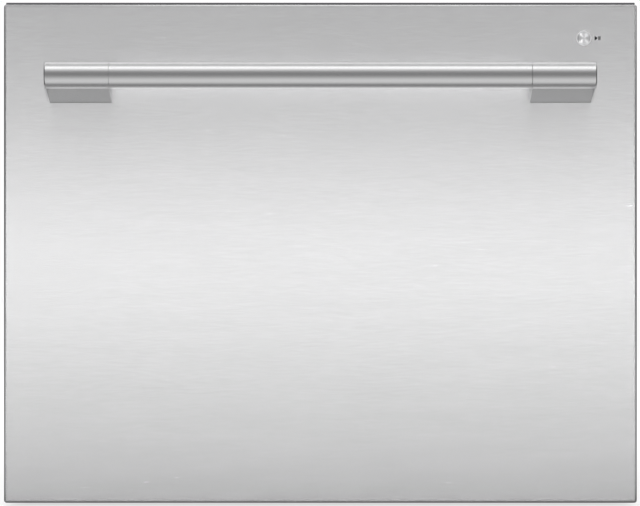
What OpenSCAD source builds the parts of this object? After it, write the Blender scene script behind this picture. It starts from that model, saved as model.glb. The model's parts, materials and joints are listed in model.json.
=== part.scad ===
// Built-in dishwasher drawer: a steel frame with a tub that slides out of it behind a brushed front.
// Millimetres. +Z is up, the front faces -Y, and +X is the right-hand side seen from the front.
// The origin is on the floor, under the middle of the whole machine.

/* [Front panel] */
// Width of the front panel
front_w = 599; // [580:1:640]
// Height of the steel skin of the front
skin_h = 472; // [460:1:520]
// Depth of the front panel, from its face to its back
front_t = 20; // [19:0.5:30]
// Thickness of the skin's sheet
skin_t = 1; // [0.8:0.1:1.4]
// Radius of the bends round the face
edge_r = 2.5; // [1.8:0.1:3.5]
// Radius of the four corners of the face
corner_r = 3; // [2:0.1:6]
// Height of the front's lower edge above the floor
front_lift = 3; // [1:0.5:5]
// Thickness of the plastic liner behind the skin
liner_t = 3; // [2:0.5:4]

/* [Control strip] */
// How far the control strip stands above the skin
strip_rise = 1.6; // [1:0.1:3]
// How far the strip stops short of the front's two ends
strip_inset = 2; // [1:0.5:10]
// How deep the strip's body reaches into the front
strip_depth = 4; // [3:0.5:6]
// Length of one key on the strip
key_l = 16; // [10:1:24]
// Width of one key on the strip
key_w = 7; // [5:0.5:8]
// Distance from one key to the next
key_pitch = 26; // [25:1:40]
// Distance from the front's middle to the first key
key_start = 150; // [100:1:180]
// How far a key goes down
key_travel = 0.5; // [0.3:0.1:0.8]

/* [Start button] */
// Distance from the front's middle to the button
button_x = 249.3; // [120:0.1:260]
// Distance from the skin's upper edge down to the button
button_drop = 32.1; // [24:0.1:40]
// Diameter of the ring round the button
bezel_d = 13.8; // [12:0.1:20]
// Width of the ring seen from the front
bezel_rim = 0.7; // [0.5:0.1:1.5]
// How far the ring stands out of the face
bezel_proud = 0.8; // [0.4:0.1:1.5]
// How far the button goes in
button_travel = 1.2; // [0.6:0.1:1.6]
// Height of the play and pause marks beside the button
symbol_h = 3.6; // [2:0.1:5]

/* [Handle] */
// Length of the handle over its two end brackets
handle_l = 515; // [300:1:560]
// Diameter of the round bar
bar_d = 25.4; // [20:0.1:32]
// Wall of the bar's tube
bar_wall = 1.5; // [1:0.1:3]
// Distance from the face to the bar's centre line
bar_reach = 47.5; // [40:0.5:60]
// Distance from the skin's upper edge down to the bar's centre line
bar_drop = 69.6; // [60:0.1:90]
// Width of each end bracket
bracket_w = 60; // [50:1:80]
// How far a bracket's foot reaches above the bar's centre line
foot_up = 8.7; // [6:0.1:12]
// How far a bracket's foot reaches below the bar's centre line
foot_down = 23.8; // [18:0.1:30]
// Distance between the two screws of a bracket
bracket_screw_pitch = 36; // [24:1:40]

/* [Frame] */
// Width of the frame over its side panels
frame_w = 594; // [590:1:598]
// Depth of the frame
frame_d = 550; // [540:1:620]
// Height of the frame's top above the floor
frame_top = 462; // [458:1:470]
// Thickness of the frame's sheet
sheet_t = 1.2; // [0.8:0.1:1.5]
// Gap between the closed front and the frame
front_gap = 3; // [2:0.5:6]
// Height of the feet
foot_h = 6; // [5:0.5:8]
// Diameter of a foot
foot_d = 36; // [24:1:40]
// Depth of the space for pipes behind the back panel
service_depth = 36; // [34:1:60]
// Width of the flanges of the side panels
flange_w = 15; // [12:1:18]
// Height of the base tray's lip
tray_lip = 8; // [5:1:8]

/* [Tub] */
// Room on each side of the tub, inside the frame's width, for its slide
side_room = 23; // [22:0.5:26]
// Room behind the tub for the end of the hose link
back_room = 55; // [50:1:70]
// Height of the underside of the tub's floor above the floor of the room
tub_base = 84; // [84:1:90]
// Height of the tub's rim above the floor of the room
rim_z = 420; // [415:1:422]
// Wall of the tub
tub_wall = 4; // [3:0.5:5]
// Radius of the tub's upright corners
tub_corner = 34; // [24:1:40]
// Distance from the front panel's back to the tub's front wall
tub_setback = 10; // [8:1:12]
// Width of the rim outside the tub's walls
rim_w = 6; // [5:0.5:7]
// Radius of the well for the wash pump
well_r = 95; // [90:1:100]
// Depth of the wells under the tub's floor
well_depth = 24; // [22:1:26]

/* [Slides] */
// Length of each member of a slide
rail_l = 470; // [440:1:480]
// Height of a slide
rail_h = 45; // [40:1:50]
// Thickness of a slide over its three members
rail_w = 12.7; // [12:0.1:14]
// Thickness of a slide's sheet
rail_t = 1.2; // [1:0.1:1.5]
// Height of the slides' centre line above the floor
rail_z = 122; // [115:1:160]
// How far the drawer comes out
travel = 430; // [300:1:440]

/* [Lid] */
// Thickness of the lid
lid_t = 17; // [14:0.5:18]
// Wall of the lid
lid_wall = 2.5; // [2:0.5:4]
// Height of the seal under the lid
seal_h = 4; // [3:0.5:6]
// Width of the seal under the lid
seal_w = 5; // [4:0.5:5]
// How far the lid lifts
lid_lift = 8; // [4:0.5:8.5]
// Tooth size of the lid's gears
gear_module = 1; // [0.9:0.05:1.1]
// Number of teeth of a lid pinion
pinion_teeth = 16; // [14:1:17]
// Distance from the frame's front edge to the lid's pinions
pinion_back = 300; // [200:1:340]

/* [Washing] */
// Length of the spray arm
spray_l = 410; // [300:1:420]
// Width of the spray arm at its hub
spray_w = 52; // [40:1:60]
// Height of the spray arm
spray_t = 13; // [10:0.5:15]
// Diameter of the wash motor
motor_d = 160; // [120:1:176]
// Height of the wash motor
motor_h = 34; // [28:1:34]
// Radius of the pump rotor
rotor_r = 52; // [40:1:60]
// Radius of the drain filter
filter_r = 30; // [24:1:32]
// Distance from the tub's middle to the drain filter
filter_x = 150; // [145:1:170]

/* [Racks] */
// Thickness of the racks' wire
wire_d = 4; // [3:0.5:4.5]
// Gap between the rack and the tub's walls, at each side
rack_side_gap = 15; // [12:1:24]
// Gap between the rack and the tub's walls, in front and behind
rack_end_gap = 10; // [8:1:20]
// Height of the rack's floor above the tub's floor
rack_lift = 38; // [36:1:50]
// Height of the rack
rack_h = 126; // [100:1:140]
// Length of one plate tine
tine_l = 88; // [60:1:95]
// Distance from one plate tine to the next
tine_pitch = 28; // [24:1:40]
// Number of tines in a row
tine_count = 10; // [4:1:11]
// Width of a cup shelf
cup_w = 96; // [70:1:105]
// Length of a cup shelf
cup_l = 300; // [200:1:330]
// Length of the cutlery basket
basket_l = 184; // [120:1:240]
// Width of the cutlery basket
basket_w = 100; // [70:1:110]
// Height of the cutlery basket
basket_h = 96; // [60:1:100]
// Wall of the cutlery basket
basket_wall = 2; // [1.5:0.5:3]

/* [Dispenser] */
// Width of the dispenser
disp_w = 180; // [160:1:200]
// Height of the dispenser
disp_h = 96; // [90:1:110]
// Depth of the dispenser
disp_d = 22; // [20:1:26]

/* [Hidden] */
$fn = 48;

// Clearances
running = 0.05;   // a shaft in its bore
sliding = 0.3;    // faces that pass each other
loose = 1;        // moving parts that only pass near each other
overcut = 1;      // how far a cut runs past a face

// Planes from front to back
total_d = bar_d / 2 + bar_reach + front_t + front_gap + frame_d;
y_face = -total_d / 2 + bar_d / 2 + bar_reach;
y_liner = y_face + front_t;
y_frame = y_liner + front_gap;
y_rear = total_d / 2;
y_back = y_rear - service_depth;
// Planes from the floor up
z_skin = front_lift;
z_top = z_skin + skin_h;
z_strip = z_top + strip_rise;
z_tray = foot_h + 2 * sheet_t;
z_lid = rim_z + sliding + seal_h;
z_lid_top = z_lid + lid_t;
// Frame
side_x = frame_w / 2 - sheet_t;
// Tub
tub_w = frame_w - 2 * side_room;
tub_x = tub_w / 2;
tub_y0 = y_liner + tub_setback;
tub_y1 = y_back - back_room;
tub_mid = (tub_y0 + tub_y1) / 2;
tub_floor = tub_base + tub_wall;
in_x = tub_x - tub_wall;
in_y0 = tub_y0 + tub_wall;
in_y1 = tub_y1 - tub_wall;
in_corner = tub_corner - tub_wall;
well_z = tub_base - well_depth;
lid_margin = 6;    // how far the lid passes the tub's inner walls
lid_x = in_x + lid_margin;
// Bar of the handle
bar_y = y_face - bar_reach;
bar_z = z_top - bar_drop;
seam = 0.3;
bar_l = handle_l - 2 * bracket_w - 2 * seam;
spigot_l = 16;
screw_r = 2.5;
screw_head_r = 4.5;
screw_head_h = 3;
screw_depth = 16;
bracket_x = handle_l / 2 - bracket_w / 2;
bracket_screw_z = bar_z - (foot_down - foot_up) / 2;

steel = [0.72, 0.73, 0.74];
zinc = [0.62, 0.64, 0.66];
black = [0.09, 0.09, 0.10];
grey = [0.62, 0.64, 0.66];
pale = [0.86, 0.87, 0.88];
dark = [0.25, 0.26, 0.28];
wire = [0.75, 0.77, 0.80];

// A box from its lowest to its highest x, y and z.
module box(x, y, z) {
  translate([x[0], y[0], z[0]]) cube([x[1] - x[0], y[1] - y[0], z[1] - z[0]]);
}

// An outline in x and z, drawn out from y0 to y1.
module along_y(y0, y1) {
  translate([0, y1, 0]) rotate([90, 0, 0]) linear_extrude(y1 - y0) children();
}

// An outline in y and z, drawn out from x0 to x1.
module along_x(x0, x1) {
  translate([x0, 0, 0]) rotate([90, 0, 90]) linear_extrude(x1 - x0) children();
}

// A rectangle with round corners.
module round_rect(x, y, r) {
  translate([x[0] + r, y[0]]) square([x[1] - x[0] - 2 * r, y[1] - y[0]]);
  translate([x[0], y[0] + r]) square([x[1] - x[0], y[1] - y[0] - 2 * r]);
  for (a = [x[0] + r, x[1] - r], b = [y[0] + r, y[1] - r])
    translate([a, b]) circle(r);
}

// A slot with round ends, lying along the first axis.
module slot(x, y, r) {
  translate([x[0] + r, y - r]) square([x[1] - x[0] - 2 * r, 2 * r]);
  for (a = [x[0] + r, x[1] - r])
    translate([a, y]) circle(r);
}

// An upright rod, and rods along x and y, from one end to the other.
module rod_z(x, y, z0, z1, r) {
  translate([x, y, z0]) cylinder(h = z1 - z0, r = r);
}
module rod_y(x, z, y0, y1, r) {
  translate([x, y0, z]) rotate([-90, 0, 0]) cylinder(h = y1 - y0, r = r);
}
module rod_x(y, z, x0, x1, r) {
  translate([x0, y, z]) rotate([0, 90, 0]) cylinder(h = x1 - x0, r = r);
}

// The same piece on the right (1) or mirrored on the left (-1).
module on_side(s) {
  mirror([s < 0 ? 1 : 0, 0, 0]) children();
}

// ---------------------------------------------------------------- front panel

// A slab with round corners and with bent edges on the side that faces -y.
module pan(x, z, y0, y1, corner, bend) {
  intersection() {
    along_y(y0, y1) round_rect([-x, x], z, corner);
    translate([0, 0, z[0] - overcut]) linear_extrude(z[1] - z[0] + 2 * overcut)
      round_rect([-x, x], [y0, y1 + 2 * bend], bend);
    along_x(-x - overcut, x + overcut) round_rect([y0, y1 + 2 * bend], z, bend);
  }
}

module strip_slot(gap) {
  box([-front_w / 2 + strip_inset + 10 - gap, front_w / 2 - strip_inset - 10 + gap],
      [y_face + edge_r + 2.5 - gap, y_liner - liner_t - 1 + gap],
      [z_top - strip_depth, z_top + overcut]);
}

module handle_screw_places() {
  for (s = [-1, 1], k = [-1, 1])
    translate([s * bracket_x + k * bracket_screw_pitch / 2, 0, 0]) children();
}

module front_skin() {
  color(steel) difference() {
    pan(front_w / 2, [z_skin, z_top], y_face, y_liner, corner_r, edge_r);
    pan(front_w / 2 - skin_t, [z_skin + skin_t, z_top - skin_t], y_face + skin_t, y_liner + overcut,
        corner_r - skin_t / 2, edge_r - skin_t / 2);
    strip_slot(sliding);
    rod_y(button_x, z_top - button_drop, y_face - overcut, y_face + skin_t + overcut, bezel_d / 2 - bezel_rim);
    handle_screw_places()
      rod_y(0, bracket_screw_z, y_face - overcut, y_face + skin_t + overcut, screw_r + running);
  }
}

liner_x = front_w / 2 - skin_t - sliding;
liner_top = z_top - skin_t - strip_depth - sliding;
boss_r = 9;
key_z0 = z_top - strip_depth;
fan_x = -150;
fan_z = 230;
fan_r = 46;
fan_depth = 11;

module front_liner() {
  rib = 2;
  rib_x = liner_x - edge_r - 2;
  rib_z = z_skin + skin_t + edge_r + 2;
  color(grey) difference() {
    union() {
      along_y(y_liner - liner_t, y_liner)
        round_rect([-liner_x, liner_x], [z_skin + skin_t + sliding, liner_top], corner_r);
      for (x = [-rib_x, rib_x - rib])
        box([x, x + rib], [y_face + skin_t, y_liner - overcut], [rib_z, liner_top - sliding]);
      for (z = [rib_z, rib_z + 76])
        box([-rib_x, rib_x], [y_face + skin_t, y_liner - overcut], [z, z + rib]);
      handle_screw_places() rod_y(0, bracket_screw_z, y_face + skin_t, y_liner, boss_r);
    }
    handle_screw_places() {
      rod_y(0, bracket_screw_z, y_face, y_liner + overcut, screw_r + running);
      rod_y(0, bracket_screw_z, y_liner - screw_head_h, y_liner + overcut, screw_head_r + running);
    }
  }
}

module key_hole(i, gap, z0, z1) {
  x = key_start + i * key_pitch;
  y = (y_face + edge_r + y_liner - liner_t) / 2;
  box([x - key_l / 2 - gap, x + key_l / 2 + gap], [y - key_w / 2 - gap, y + key_w / 2 + gap], [z0, z1]);
}

key_flange = 1;      // the rim that keeps a key in the strip
module control_strip() {
  color(black) difference() {
    union() {
      box([-front_w / 2 + strip_inset, front_w / 2 - strip_inset], [y_face + edge_r, y_liner],
          [z_top, z_strip]);
      difference() {
        strip_slot(0);
        box([-front_w, front_w], [y_face, y_liner], [z_top, z_top + 2 * overcut]);
      }
    }
    for (i = [0:2]) {
      key_hole(i, sliding, z_top - strip_depth - overcut, z_strip + overcut);
      key_hole(i, key_flange + sliding, z_top - strip_depth - overcut, z_top - sliding);
    }
  }
}

module key(i) {
  color(grey) {
    key_hole(i, 0, key_z0 + key_travel + sliding, z_strip);
    key_hole(i, key_flange, key_z0 + key_travel + sliding, z_top - 2 * sliding);
  }
}

module_h = 46;
module_d = 12;
module_end = 40;    // how far the control module passes the first key
module_gap = 0.4;   // and how far it stays from the button's ring
module control_module() {
  top = key_z0 - sliding / 2;
  color(dark) {
    box([key_start - module_end, button_x - bezel_d / 2 - module_gap],
        [y_liner - liner_t - module_d, y_liner - liner_t], [liner_top - module_h, liner_top - 4]);
    for (i = [0:2])
      key_hole(i, -2, liner_top - 4, top);
  }
}

button_r = bezel_d / 2 - bezel_rim - running * 2;
barrel_r = bezel_d / 2 - bezel_rim;
bezel_depth = 8;
module button_bezel() {
  color([0.85, 0.86, 0.88]) difference() {
    union() {
      rod_y(button_x, z_top - button_drop, y_face - bezel_proud, y_face, bezel_d / 2);
      rod_y(button_x, z_top - button_drop, y_face, y_face + bezel_depth, barrel_r - running);
    }
    rod_y(button_x, z_top - button_drop, y_face - bezel_proud - overcut, y_face + 4, button_r + running);
    rod_y(button_x, z_top - button_drop, y_face, y_face + bezel_depth + overcut, 3 + running);
  }
}

button_t = 2.6;
module start_button() {
  y = y_face - bezel_proud + 0.3;
  color([0.80, 0.81, 0.83]) {
    rod_y(button_x, z_top - button_drop, y, y + button_t, button_r);
    rod_y(button_x, z_top - button_drop, y + button_t, y_face + bezel_depth + 1, 3);
  }
}

module start_symbol() {
  t = 0.12;
  x = button_x + bezel_d / 2 + 3.2;
  z = z_top - button_drop - symbol_h / 2;
  bar = symbol_h / 5;
  color(black) {
    along_y(y_face - t, y_face) polygon([[x, z], [x + symbol_h * 0.72, z + symbol_h / 2], [x, z + symbol_h]]);
    for (k = [0, 1])
      box([x + symbol_h * (1.0 + 0.4 * k), x + symbol_h * (1.0 + 0.4 * k) + bar], [y_face - t, y_face],
          [z, z + symbol_h]);
  }
}

module fan_housing() {
  y0 = y_liner - liner_t - fan_depth;
  color(dark) difference() {
    union() {
      along_y(y0, y_liner - liner_t)
        round_rect([fan_x - fan_r - 6, fan_x + fan_r + 6], [fan_z - fan_r - 6, fan_z + fan_r + 6], 10);
    }
    difference() {
      rod_y(fan_x, fan_z, y0 - overcut, y_liner - liner_t - 2, fan_r);
      rod_y(fan_x, fan_z, y0 + 2, y_liner - liner_t, 4);
    }
  }
}

module drying_fan() {
  y0 = y_liner - liner_t - fan_depth + 1;
  y1 = y_liner - liner_t - 2 - sliding;
  color(pale) difference() {
    union() {
      rod_y(fan_x, fan_z, y0, y1, 14);
      difference() {
        rod_y(fan_x, fan_z, y1 - 2, y1, fan_r - loose);
        rod_y(fan_x, fan_z, y1 - 2 - overcut, y1 + overcut, 13);
      }
      for (a = [0:30:330])
        translate([fan_x, 0, fan_z]) rotate([0, a, 0]) box([12, fan_r - loose - 1], [y0, y1 - 1], [-0.8, 0.8]);
    }
    rod_y(fan_x, fan_z, y0 - overcut, y1 + overcut, 4 + running);
  }
}

// ---------------------------------------------------------------- handle

module handle_bar() {
  color(steel) difference() {
    rod_x(bar_y, bar_z, -bar_l / 2, bar_l / 2, bar_d / 2);
    rod_x(bar_y, bar_z, -bar_l / 2 - overcut, bar_l / 2 + overcut, bar_d / 2 - bar_wall);
  }
}

// Seen from the end, a bracket is the bar's circle with an arm that widens towards the panel.
module handle_bracket(s) {
  foot_slope = atan2(foot_down - bar_d / 2, bar_reach);
  roof_slope = atan2(bar_d / 2 - foot_up, bar_reach);
  color(steel) on_side(s) difference() {
    union() {
      along_x(bracket_x - bracket_w / 2, bracket_x + bracket_w / 2) {
        translate([bar_y, bar_z]) circle(bar_d / 2);
        polygon([
          [bar_y, bar_z], [bar_y + bar_d / 2 * sin(roof_slope), bar_z + bar_d / 2 * cos(roof_slope)],
          [y_face, bar_z + foot_up], [y_face, bar_z - foot_down],
          [bar_y - bar_d / 2 * sin(foot_slope), bar_z - bar_d / 2 * cos(foot_slope)]
        ]);
      }
      rod_x(bar_y, bar_z, bracket_x - bracket_w / 2 - spigot_l, bracket_x - bracket_w / 2,
            bar_d / 2 - bar_wall - running);
    }
    for (k = [-1, 1])
      rod_y(bracket_x + k * bracket_screw_pitch / 2, bracket_screw_z,
            y_face - screw_depth - 2, y_face + overcut, screw_r + running);
  }
}

module handle_screws() {
  color(zinc) handle_screw_places() {
    rod_y(0, bracket_screw_z, y_face - screw_depth, y_liner - screw_head_h, screw_r);
    difference() {
      rod_y(0, bracket_screw_z, y_liner - screw_head_h, y_liner - 0.4, screw_head_r);
      rod_y(0, bracket_screw_z, y_liner - 2, y_liner, 1.6);
    }
  }
}

// ---------------------------------------------------------------- tub and its slides

module tub_outline(out) {
  round_rect([-tub_x - out, tub_x + out], [tub_y0 - out, tub_y1 + out], tub_corner + out);
}

boss_in = [70, 60];    // from the tub's front and back
boss_y = [tub_y0 + boss_in[0], tub_y1 - boss_in[1]];
boss_h = 28;
boss_l = 34;
rail_x = side_x - rail_w;
ledge = 16;
ledge_l = 46;
in_front = in_y0 - tub_mid;
rack_z = tub_floor + rack_lift;

module tub() {
  color([0.68, 0.70, 0.72]) difference() {
    union() {
      translate([0, 0, tub_base]) linear_extrude(rim_z - tub_base) tub_outline(0);
      // The rim, which the lid's seal lies on, reaches the front panel.
      translate([0, 0, rim_z - tub_wall]) linear_extrude(tub_wall) {
        tub_outline(rim_w);
        translate([-tub_x + tub_corner, y_liner]) square([tub_w - 2 * tub_corner, tub_setback + overcut]);
      }
      // Two wells under the floor.
      rod_z(0, tub_mid, well_z, tub_base + overcut, well_r);
      rod_z(filter_x, tub_mid, well_z, tub_base + overcut, filter_r + 8);
      // Ribs that the front panel is fixed to.
      for (s = [-1, 1])
        box([s * 180 - 12, s * 180 + 12], [y_liner, tub_y0 + overcut], [tub_base + 16, rim_z - tub_wall - 10]);
      // Bosses for the slides.
      for (s = [-1, 1], y = boss_y)
        on_side(s) box([tub_x - overcut, rail_x], [y - boss_l / 2, y + boss_l / 2],
                       [rail_z - boss_h / 2, rail_z + boss_h / 2]);
    }
    difference() {
      translate([0, 0, tub_floor]) linear_extrude(rim_z)
        round_rect([-in_x, in_x], [in_y0, in_y1], in_corner);
      // Ledges at the corners, which the rack stands on.
      for (s = [-1, 1], t = [-1, 1])
        box([s * in_x - ledge_l * (s > 0 ? 1 : 0), s * in_x + ledge_l * (s < 0 ? 1 : 0)],
            [tub_mid - t * in_front - ledge_l * (t > 0 ? 1 : 0),
             tub_mid - t * in_front + ledge_l * (t < 0 ? 1 : 0)],
            [tub_floor - overcut, rack_z]);
    }
    rod_z(0, tub_mid, well_z + tub_wall, tub_floor + overcut, well_r - tub_wall);
    rod_z(filter_x, tub_mid, well_z + tub_wall, tub_floor + overcut, filter_r + 8 - tub_wall);
    rod_z(0, tub_mid, well_z - overcut, well_z + tub_wall + overcut, 8);
  }
}

link_pin_r = 4;
link_w = 26;
link_t = 4;
link_back = 27;    // from the back panel to the arm's last pin
link_end = y_back - sheet_t - link_back;
link_x = 96;
link_l = travel / 4 / sin(45);
link_slack = 0.0425 * travel / 2;    // the arms turn evenly, so their end strays this far from the bracket
link_mid = link_end - travel / 2;
z_arm_rear = z_tray + 0.6;
z_arm_front = z_arm_rear + link_t + sliding;
z_bracket = z_arm_front + link_t + sliding;

// The arm's last pin runs in a slot of this bracket, on the back of the tub.
module link_bracket() {
  t = 3;
  half = link_pin_r + 6;
  reach = link_slack + link_pin_r + 2;
  tab_l = 22;
  y0 = tub_y1 - tab_l - 2;
  color(zinc) {
    difference() {
      box([link_x - half, link_x + half], [y0, link_end + reach + 4], [z_bracket, z_bracket + t]);
      for (k = [-1, 1])
        rod_z(link_x, link_end + k * (reach - link_pin_r - 1), z_bracket - overcut, z_bracket + t + overcut,
              link_pin_r + sliding);
      box([link_x - link_pin_r - sliding, link_x + link_pin_r + sliding],
          [link_end - reach + link_pin_r + 1, link_end + reach - link_pin_r - 1],
          [z_bracket - overcut, z_bracket + t + overcut]);
    }
    box([link_x - half, link_x + half], [y0, y0 + t], [z_bracket + t - overcut, tub_base]);
    box([link_x - half, link_x + half], [y0 - tab_l, y0 + t], [tub_base - t, tub_base]);
  }
}

// A slide's three members lie one in another: each is a channel, seen from its end.
module channel(web0, web1, tip, half) {
  box([web0, web1], [0, rail_l], [-half, half]);
  for (k = [0, 1])
    mirror([0, 0, k]) box([min(web0, tip), max(web1, tip)], [0, rail_l], [half - rail_t, half]);
}

rail_y = y_frame + 12;
mid_half = rail_h / 2 - rail_t - sliding;
inner_half = mid_half - rail_t - sliding;

module frame_rail(s) {
  color(zinc) on_side(s) translate([side_x, rail_y, rail_z])
    channel(-rail_t, 0, -rail_w + 2, rail_h / 2);
}

module mid_rail(s) {
  color(zinc) on_side(s) translate([side_x, rail_y, rail_z])
    channel(-2 * rail_t - sliding, -rail_t - sliding, -rail_w + 2, mid_half);
}

module drawer_rail(s) {
  color(zinc) on_side(s) translate([side_x, rail_y, rail_z])
    channel(-rail_w, -rail_w + rail_t, -2 * rail_t - 2 * sliding, inner_half);
}

// ---------------------------------------------------------------- washing parts

hub_r = 6;
plate_t = 1.5;
plate_r = well_r + 12;
filter_seat = filter_r + 3;
module filter_plate() {
  color(steel) {
    difference() {
      union() {
        rod_z(0, tub_mid, tub_floor, tub_floor + plate_t, plate_r);
        rod_z(filter_x, tub_mid, tub_floor, tub_floor + plate_t, filter_seat + 9);
        box([0, filter_x], [tub_mid - 36, tub_mid + 36], [tub_floor, tub_floor + plate_t]);
      }
      rod_z(filter_x, tub_mid, tub_floor - overcut, tub_floor + plate_t + overcut, filter_r + sliding);
    }
    rod_z(0, tub_mid, tub_floor + plate_t, tub_floor + plate_t + 3, hub_r + 8);
    rod_z(0, tub_mid, tub_floor + plate_t + 3, tub_floor + plate_t + 5 + spray_t, hub_r);
  }
}

module drain_filter() {
  color(dark) {
    difference() {
      rod_z(filter_x, tub_mid, well_z + tub_wall + sliding, tub_floor + plate_t + 1, filter_r);
      rod_z(filter_x, tub_mid, well_z + tub_wall + 3, tub_floor + plate_t + 1 + overcut, filter_r - 3);
    }
    box([filter_x - filter_r + 2, filter_x + filter_r - 2], [tub_mid - 3, tub_mid + 3],
        [well_z + tub_wall + 3 - overcut, tub_floor + plate_t + 1]);
  }
}

shaft_r = 4;
motor_top = well_z;
module wash_motor() {
  color(dark) difference() {
    union() {
      rod_z(0, tub_mid, motor_top - motor_h + 6, motor_top, motor_d / 2);
      rod_z(0, tub_mid, motor_top - motor_h, motor_top - motor_h + 6, motor_d / 2 - 12);
      for (a = [0:30:150])
        translate([0, tub_mid, 0]) rotate([0, 0, a])
          box([-motor_d / 2 - 5, motor_d / 2 + 5], [-2, 2], [motor_top - motor_h + 10, motor_top]);
    }
    rod_z(0, tub_mid, motor_top - 20, motor_top + overcut, shaft_r + running);
  }
}

module wash_rotor() {
  z0 = well_z + tub_wall + sliding;
  z1 = tub_floor - 3;
  color(pale) {
    rod_z(0, tub_mid, motor_top - 18, z1, shaft_r);
    rod_z(0, tub_mid, z0, z0 + 3, rotor_r);
    for (a = [0:45:315])
      translate([0, tub_mid, 0]) rotate([0, 0, a])
        box([shaft_r - 1, rotor_r - 2], [-1.5, 1.5], [z0 + 2, z1]);
  }
}

module spray_arm() {
  z0 = tub_floor + plate_t + 3 + sliding;
  tip_r = 14;
  reach = spray_l / 2 - tip_r;
  color([0.78, 0.80, 0.82]) difference() {
    union() {
      translate([0, tub_mid, z0]) linear_extrude(spray_t) {
        circle(spray_w / 2);
        for (s = [-1, 1]) {
          polygon([[0, -spray_w / 2], [s * reach, -tip_r], [s * reach, tip_r], [0, spray_w / 2]]);
          translate([s * reach, 0]) circle(tip_r);
        }
      }
      rod_z(0, tub_mid, z0 + spray_t, z0 + spray_t + 5, hub_r + 9);
    }
    rod_z(0, tub_mid, z0 - overcut, z0 + spray_t + 2, hub_r + running);
    for (s = [-1, 1], k = [1:4])
      rod_z(s * k * reach / 4.4, tub_mid + s * 4, z0 + spray_t - 3, z0 + spray_t + overcut, 2);
  }
}

// ---------------------------------------------------------------- dispenser

disp_z = 300;
disp_y = in_y0 + disp_d;
cup_x0 = -disp_w / 2 + 10;
cup_x1 = 16;
cup_z0 = disp_z + 16;
cup_z1 = disp_z + disp_h - 14;
cap_x = disp_w / 2 - 36;
cap_z = disp_z + disp_h / 2;
cap_r = 17;
door_t = 3;
door_pin = 1.5;
door_axis_z = cup_z0 - 5;
door_axis_y = disp_y + door_pin + 1.2;

module dispenser() {
  color(grey) {
    difference() {
      along_y(in_y0, disp_y) round_rect([-disp_w / 2, disp_w / 2], [disp_z, disp_z + disp_h], 10);
      box([cup_x0, cup_x1], [in_y0 + 3, disp_y + overcut], [cup_z0, cup_z1]);
      rod_y(cap_x, cap_z, in_y0 + 6, disp_y + overcut, cap_r + sliding);
    }
    // Two lugs that hold the door's hinge pin.
    for (x = [cup_x0 - 6, cup_x1 + 2])
      difference() {
        box([x, x + 4], [disp_y - overcut, door_axis_y + 3], [door_axis_z - 3.5, door_axis_z + 3.5]);
        rod_x(door_axis_y, door_axis_z, x - overcut, x + 4 + overcut, door_pin + running);
      }
  }
}

module dispenser_door() {
  y0 = disp_y + sliding;
  color(pale) {
    box([cup_x0 - 1, cup_x1 + 1], [y0 + 2.4, y0 + 2.4 + door_t], [door_axis_z, cup_z1 + 4]);
    box([cup_x0 + 2, cup_x1 - 2], [y0, y0 + 3], [cup_z0 + 2, cup_z1 - 2]);
    rod_x(door_axis_y, door_axis_z, cup_x0 - 1, cup_x1 + 1, 2.4);
    rod_x(door_axis_y, door_axis_z, cup_x0 - 6, cup_x1 + 6, door_pin);
    box([(cup_x0 + cup_x1) / 2 - 10, (cup_x0 + cup_x1) / 2 + 10], [y0 + 2.4, y0 + 8], [cup_z1 - 1, cup_z1 + 4]);
  }
}

module rinse_cap() {
  color([0.35, 0.45, 0.60]) {
    rod_y(cap_x, cap_z, in_y0 + 6 + sliding, disp_y + 3, cap_r);
    box([cap_x - 2, cap_x + 2], [disp_y + 2, disp_y + 8], [cap_z - cap_r + 2, cap_z + cap_r - 2]);
  }
}

// ---------------------------------------------------------------- racks

wr = wire_d / 2;
rack_x = in_x - rack_side_gap - wr;
rack_y = (in_y1 - in_y0) / 2 - rack_end_gap - wr;
weld = 0.4;    // how deep crossing wires are welded into each other
rack_floor = rack_z + sliding + wr + wire_d - weld;    // centre line of the upper floor wires
rack_top = rack_floor + rack_h;
axle_z = rack_floor + wr + 3.2;
tine_y = [-84, 62];
tine_x0 = -rack_x + 18;
shelf_z = rack_top + 5.5;
clip_r = wr + running;

// A square bar stands for each wire's run: wires cross and are welded where they touch.
module bar_x(x0, x1, y, z) {
  box([x0, x1], [tub_mid + y - wr, tub_mid + y + wr], [z - wr, z + wr]);
}
module bar_y(y0, y1, x, z) {
  box([x - wr, x + wr], [tub_mid + y0, tub_mid + y1], [z - wr, z + wr]);
}
module bar_z(x, y, z0, z1) {
  box([x - wr, x + wr], [tub_mid + y - wr, tub_mid + y + wr], [z0, z1]);
}

module clip(x, y, z, along) {
  // A block with a bore for a hinge wire, on a post.
  translate([x, tub_mid + y, z]) difference() {
    box([-3.5, 3.5], [-3.5, 3.5], [-5, 3.5]);
    if (along == "x")
      rod_x(0, 0, -5, 5, clip_r);
    else
      rod_y(0, 0, -5, 5, clip_r);
  }
}

tine_x1 = tine_x0 + (tine_count + 1) * tine_pitch;
// Gaps between the rack's floor wires, across and from front to back.
floor_n = [12, 8];
floor_half = [rack_x - wire_d, rack_y - wire_d];
function wire_at(i, k) = floor_half[i] * (2 * k / floor_n[i] - 1);
rack_low = rack_floor - wire_d + weld;    // centre line of the lower floor wires
side_z = [rack_floor + rack_h / 2, rack_top];

// The floor of the rack. Its sides are welded to the ends of its wires.
module rack() {
  in = [rack_x - wr, rack_y - wr];
  color(wire) {
    for (k = [0:floor_n[0]])
      bar_y(-in[1], in[1], wire_at(0, k), rack_low);
    for (k = [0:floor_n[1]])
      bar_x(-in[0], in[0], wire_at(1, k), rack_floor);
    for (y = tine_y) {
      bar_x(-in[0], tine_x1 + 10, y, rack_floor);
      for (x = [tine_x0 + tine_pitch / 2 - 8, tine_x1 - tine_pitch / 2 + 8])
        clip(x, y, axle_z, "x");
    }
  }
}

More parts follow.
